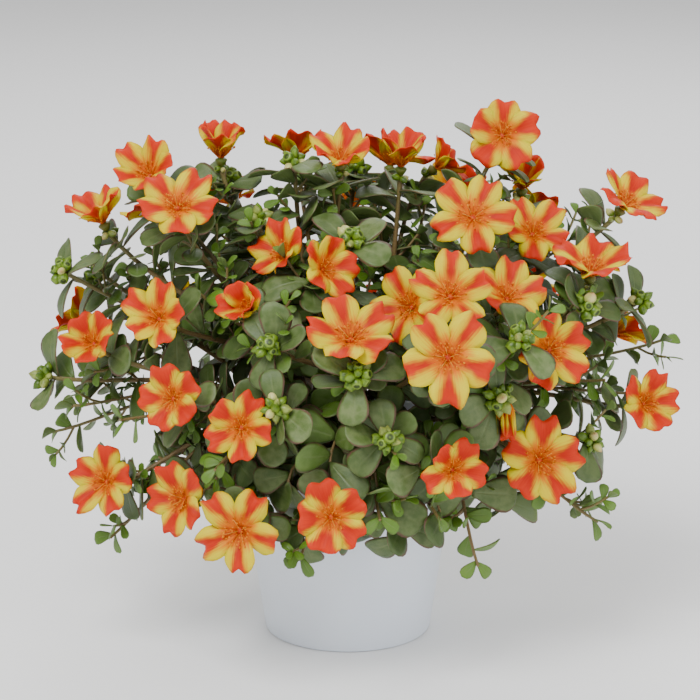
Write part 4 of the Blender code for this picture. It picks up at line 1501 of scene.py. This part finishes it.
for row in BRANCHES:
    handful = Gathering("blush", "spent")
    for head in BRANCH_HEADS[row[0]]:
        name, kind, place, look, spin = head[0], head[1], head[2], head[3], head[6]
        rng = random.Random("buds " + name)
        side = look.orthogonal().normalized()
        if kind == "buds":
            open_share = rng.choice(OPEN_SHARES)
            for n in range(CLUSTER):
                lean = math.radians(8 + 92 * math.sqrt(n / (CLUSTER - 1)))
                out = Matrix.Rotation(n * CLUSTER_TURN + spin, 3, look) @ side
                way = look * math.cos(lean) + out * math.sin(lean)
                foot = place - look * 2 * MM + way * rng.uniform(1.0, 2.6) * MM
                lay_bud(handful, foot, way, BUD_LENGTH * rng.uniform(0.68, 1.0), rng, open_share)
        elif kind == "bloom":
            for n in range(NECK_BUDS):
                lean = math.radians(rng.uniform(64, 96))
                out = Matrix.Rotation(n * NECK_TURN + rng.uniform(-0.4, 0.4), 3, look) @ side
                way = look * math.cos(lean) + out * math.sin(lean)
                foot = place - look * (NECK + rng.uniform(0, 2) * MM) + way * 0.6 * MM
                lay_bud(handful, foot, way, BUD_LENGTH * rng.uniform(0.45, 0.78), rng, NECK_OPEN_SHARE)
    piece = handful.make(row[0] + "_buds", [BUD_FINISH])
    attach(piece, "root")
print("bud clusters:", sum(head[1] == "buds" for head in HEADS))

# %% [markdown]
# ## Flowers
#
# Each petal rises from the heart along an arc, which the flower's cup sets, and every petal gets its
# own small faults: a roll of its edges, a ripple along its tip, a little more or less length. Each
# overlaps the next by one shoulder, as petals do in the bud.

# %% Bend petals and lay stamens
PETALS = 5
PETAL_LENGTH = 1.10
CENTRE_LINE = 24
STAMENS = 72
SHUT_STAMENS = 12
STAMEN_TURN = 2.39996
# Width and height of the heart's cushion, as shares of a petal's length
CUSHION = np.array([0.15, 0.15, 0.07])
CUSHION_RISE = 0.04
STIGMA_ARMS = [4, 5, 5, 6]
FUNNEL = np.array([NECK * 0.9, NECK * 0.9, NECK * 0.5])


def centre_line(cup, curl, reflex):
    """Samples of a unit petal's middle line: share along it, out, up and slope."""
    rise0, rise1 = math.radians(30 + 42 * cup), math.radians(-6 + 66 * cup + curl)
    share = np.linspace(0, 1.1, CENTRE_LINE)
    slope = rise0 + (rise1 - rise0) * share - reflex * np.maximum(0, share - 0.6) ** 2
    step = share[1]
    out = np.concatenate([[0], np.cumsum(np.cos(slope[1:]) * step)])
    up = np.concatenate([[0], np.cumsum(np.sin(slope[1:]) * step)])
    return share, out, up, slope


def bend_petal(length, cup, angle, full, rng):
    """The petal's points: drawn to its own outline, rippled, bent along the arc and turned to its angle."""
    curl, reflex = rng.uniform(-16, 16), rng.uniform(-1.0, 5.0) * (1 - min(cup, 1))
    share, out, up, slope = centre_line(cup, curl, reflex)
    q, y, h = PETAL.points[:, 0], PETAL.points[:, 1], PETAL.points[:, 2]
    u = PETAL.place[:, 1] * 2 - 1
    phase, wave, notch = rng.uniform(0, 6.28), rng.uniform(0, 6.28), rng.uniform(-0.06, 0.01)
    tip = notch * np.exp(-((u / 0.4) ** 2)) + 0.018 * np.sin(7 * u + wave)
    q = q * rng.uniform(0.95, 1.05) + tip * q ** 5
    y = y * full * rng.uniform(0.95, 1.05)
    roll, lobes = rng.uniform(-0.6, 0.4), rng.uniform(0.07, 0.13)
    lift = h + roll * y * y + 0.085 * u * q * (1 - 0.5 * q) + lobes * (1 - np.cos(2 * math.pi * u)) * 0.5 * q
    lift = lift + 0.070 * np.sin(3.6 * u + phase) * q ** 4 + 0.05 * np.sin(7.5 * q + wave) * u ** 2 * q
    o, z, a = np.interp(q, share, out), np.interp(q, share, up), np.interp(q, share, slope)
    o, z = o - np.sin(a) * lift, z + np.cos(a) * lift
    hug = min(1.0, cup) * 0.75
    wide = np.maximum(o, 0.22)
    flat = np.stack([o, y], 1)
    wrapped = np.stack([o * np.cos(y / wide), wide * np.sin(y / wide)], 1)
    plan = flat * (1 - hug) + wrapped * hug
    c, s = math.cos(angle), math.sin(angle)
    return np.stack([plan[:, 0] * c - plan[:, 1] * s, plan[:, 0] * s + plan[:, 1] * c, z], 1) * length


def bend_thread(points, polar, turn, reach, bow, foot):
    """A stamen's points: bowed outwards, tipped from the flower's axis and turned round it."""
    r, z = points[:, 0] + bow * points[:, 2] ** 2, points[:, 2]
    x = (r * math.cos(polar) + z * math.sin(polar)) * reach + foot
    up = (-r * math.sin(polar) + z * math.cos(polar)) * reach
    y = points[:, 1] * reach
    c, s = math.cos(turn), math.sin(turn)
    return np.stack([x * c - y * s, x * s + y * c, up], 1)


def make_bloom(head):
    name, _, place, look, width, cup, spin, red = head
    rng = random.Random("flower " + name)
    length = 0.5 * PETAL_LENGTH * width
    axes = np.array(look.to_track_quat("Z", "Y").to_matrix() @ Matrix.Rotation(math.radians(spin), 3, "Z"))
    flower = Gathering("redness", "phase")

    def lay(master, local, finish, **numbers):
        flower.add(master, local @ axes.T + np.array(place), finish, **numbers)

    full = rng.uniform(0.92, 1.15)
    for k in range(PETALS):
        angle = 2 * math.pi * (k + 0.5) / PETALS + rng.uniform(-0.06, 0.06)
        shown = min(1.0, max(0.0, red + rng.uniform(-0.18, 0.18)))
        bent = bend_petal(length, cup, angle, full, rng)
        lay(PETAL, bent, PETAL_SLOT, redness=shown, phase=rng.uniform(0, 1))
    cushion = (GRAIN.points - np.array([0, 0, 1])) / GRAIN_RADIUS * CUSHION * length
    lay(GRAIN, cushion + np.array([0, 0, CUSHION_RISE * length]), THREAD_SLOT)
    for n in range(SHUT_STAMENS if cup > 1 else STAMENS):
        share = (n + 0.5) / STAMENS
        polar = math.radians((10 + 66 * math.sqrt(share)) * (1 - 0.55 * min(cup, 1)) + rng.uniform(-6, 6))
        reach = length * rng.uniform(0.28, 0.40)
        turn = n * STAMEN_TURN + rng.uniform(-0.2, 0.2)
        shape = (polar, turn, reach, rng.uniform(-0.25, 0.15), 0.05 * length)
        lay(THREAD, bend_thread(THREAD.points, *shape), THREAD_SLOT)
        lay(GRAIN, bend_thread(GRAIN.points, *shape), GRAIN_SLOT)
    arms = rng.choice(STIGMA_ARMS)
    for n in range(arms):
        turn = 2 * math.pi * n / arms + rng.uniform(-0.3, 0.3)
        shape = (math.radians(rng.uniform(14, 26)), turn, length * rng.uniform(0.36, 0.43), 0.3, 0.0)
        lay(THREAD, bend_thread(THREAD.points, *shape), STIGMA_SLOT)
    lay(CALYX, CALYX.points * FUNNEL + np.array([0, 0, -NECK * 0.5]), CALYX_SLOT)
    piece = flower.make(name + "_flower", FLOWER_FINISHES)
    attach(piece, "root")
    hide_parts(name)
    return piece


blooms = [make_bloom(head) for head in HEADS if head[1] == "bloom"]
print("flowers:", len(blooms), "with", len(blooms[0].data.polygons), "faces each")

# %% [markdown]
# ## The pot
#
# The pot is one thin-walled moulding. A cone gives its outside; its top is inset to the wall's
# thickness and pushed down to hollow it, a band below the rim is pushed out into a lip, and the edges
# are rounded. Drain holes are cut through the floor.

# %% Model the pot
RIM_RADIUS = 66 * MM
BASE_RADIUS = 47.5 * MM
WALL = 2.2 * MM
FLOOR = 3.0 * MM
LIP_DEPTH = 7.0 * MM
LIP_PROUD = 1.3 * MM
LIP_SLOPE = 0.6 * MM
EDGE_ROUNDING = 0.8 * MM
POT_SIDES = 96
DRAIN_COUNT = 5
DRAIN_FIRST = 36
DRAIN_RADIUS = 4.0 * MM
DRAIN_CIRCLE = 29 * MM
DRILL_DEPTH = 30 * MM


def faces_where(obj, test):
    """Enters edit mode on obj with just the faces that pass a test selected."""
    pick(obj, [])
    bpy.ops.mesh.select_mode(type="FACE")
    bpy.ops.object.mode_set(mode="OBJECT")
    for face in obj.data.polygons:
        face.select = test(face)
    bpy.ops.object.mode_set(mode="EDIT")


wall_top = RIM_RADIUS - LIP_PROUD
bpy.ops.object.select_all(action="DESELECT")
bpy.ops.mesh.primitive_cone_add(
    vertices=POT_SIDES, radius1=BASE_RADIUS, radius2=wall_top, depth=POT_HEIGHT,
    location=(0, 0, POT_HEIGHT / 2),
)
pot = bpy.context.object
pot.name = "pot_shell"
done(pot)
pick_all(pot)
bpy.ops.mesh.bisect(plane_co=(0, 0, POT_HEIGHT - LIP_DEPTH), plane_no=(0, 0, 1))
bpy.ops.mesh.select_all(action="SELECT")
bpy.ops.mesh.bisect(plane_co=(0, 0, POT_HEIGHT - LIP_DEPTH - LIP_SLOPE), plane_no=(0, 0, 1))
faces_where(pot, lambda f: abs(f.normal.z) < 0.5 and f.center.z > POT_HEIGHT - LIP_DEPTH)
bpy.ops.mesh.extrude_region_shrink_fatten(TRANSFORM_OT_shrink_fatten={"value": LIP_PROUD})
faces_where(pot, lambda f: f.normal.z > 0.9 and f.center.z > POT_HEIGHT - 3 * MM)
bpy.ops.mesh.inset(thickness=WALL + LIP_PROUD, depth=0)
bpy.ops.mesh.extrude_region_move(TRANSFORM_OT_translate={"value": (0, 0, -(POT_HEIGHT - FLOOR))})
inner_low = BASE_RADIUS + (wall_top - BASE_RADIUS) * FLOOR / POT_HEIGHT - WALL
shrink = inner_low / (wall_top - WALL)
bpy.ops.transform.resize(value=(shrink, shrink, 1), center_override=(0, 0, FLOOR))
done(pot)
soften = pot.modifiers.new("soften", "BEVEL")
soften.width = EDGE_ROUNDING
soften.segments = 3
soften.limit_method = "ANGLE"
soften.angle_limit = math.radians(40)
bpy.ops.object.modifier_apply(modifier="soften")
for i in range(DRAIN_COUNT):
    place = facing(DRAIN_FIRST + i * 360 / DRAIN_COUNT, 90) * DRAIN_CIRCLE
    bpy.ops.mesh.primitive_cylinder_add(vertices=32, radius=DRAIN_RADIUS, depth=DRILL_DEPTH, location=place)
    drill = bpy.context.object
    done(drill)
    hole = pot.modifiers.new("hole", "BOOLEAN")
    hole.operation = "DIFFERENCE"
    hole.solver = "EXACT"
    hole.object = drill
    bpy.context.view_layer.objects.active = pot
    bpy.ops.object.modifier_apply(modifier="hole")
    bpy.data.objects.remove(drill)
done(pot)
bpy.ops.object.shade_smooth_by_angle(angle=math.radians(35))
pot.data.materials.clear()
pot.data.materials.append(POT_FINISH)
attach(pot, "root")
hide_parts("pot")
print("pot:", len(pot.data.polygons), "faces")

# %% [markdown]
# ## The soil
#
# Only small patches of soil show between the leaves, but a look from above finds them, so the root
# ball's top is a real lumpy surface: a fine grid cut round, its points pushed up and down by noise.

# %% Model the soil
SOIL_RINGS = 22
SOIL_SIDES = 64
SOIL_WAVES = 14
RIPPLE_HEIGHT = 0.22 * MM
CRUMB = 0.5
SOIL_RADIUS = BASE_RADIUS + (wall_top - BASE_RADIUS) * SOIL_LEVEL / POT_HEIGHT - WALL - GAP
SOIL_FLOOR_RADIUS = inner_low - GAP

bpy.ops.object.select_all(action="DESELECT")
bpy.ops.mesh.primitive_cone_add(
    vertices=SOIL_SIDES, radius1=SOIL_FLOOR_RADIUS, radius2=SOIL_RADIUS, depth=SOIL_LEVEL - FLOOR - GAP,
    location=(0, 0, (SOIL_LEVEL + FLOOR + GAP) / 2), end_fill_type="NGON",
)
soil = bpy.context.object
soil.name = "soil_ball"
done(soil)
faces_where(soil, lambda f: f.normal.z > 0.9)
for ring in range(SOIL_RINGS):
    bpy.ops.mesh.inset(thickness=SOIL_RADIUS / (SOIL_RINGS + 1.5), depth=0)
done(soil)
lumps = random.Random("soil")
waves = [(lumps.uniform(0.2, 1.6), lumps.uniform(0, 6.28), lumps.uniform(0, 6.28)) for n in range(SOIL_WAVES)]


def ripple_at(x, y):
    """The sum of all the waves, the short ones lower, at a place in metres."""
    return sum(math.sin(f * 1000 * (x * math.cos(a) + y * math.sin(a)) + p) / (1 + f) for f, a, p in waves)


for vert in soil.data.vertices:
    from_axis = math.hypot(vert.co.x, vert.co.y)
    if vert.co.z < SOIL_LEVEL - 0.1 * MM or from_axis > SOIL_RADIUS - 1 * MM:
        continue
    dome = SOIL_MOUND * (1 - (from_axis / SOIL_RADIUS) ** 2)
    ripple = RIPPLE_HEIGHT * ripple_at(vert.co.x, vert.co.y)
    vert.co.z += dome + ripple + lumps.uniform(-CRUMB, CRUMB) * MM
bpy.ops.object.shade_smooth()
soil.data.materials.clear()
soil.data.materials.append(SOIL_FINISH)
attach(soil, "root")
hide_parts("soil")
print("soil:", len(soil.data.polygons), "faces")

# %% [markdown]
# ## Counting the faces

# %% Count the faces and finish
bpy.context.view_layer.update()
shown = [o for o in bpy.data.objects if o.type == "MESH" and not o.name.startswith("studio")]
print("faces in all:", sum(len(o.data.polygons) for o in shown))
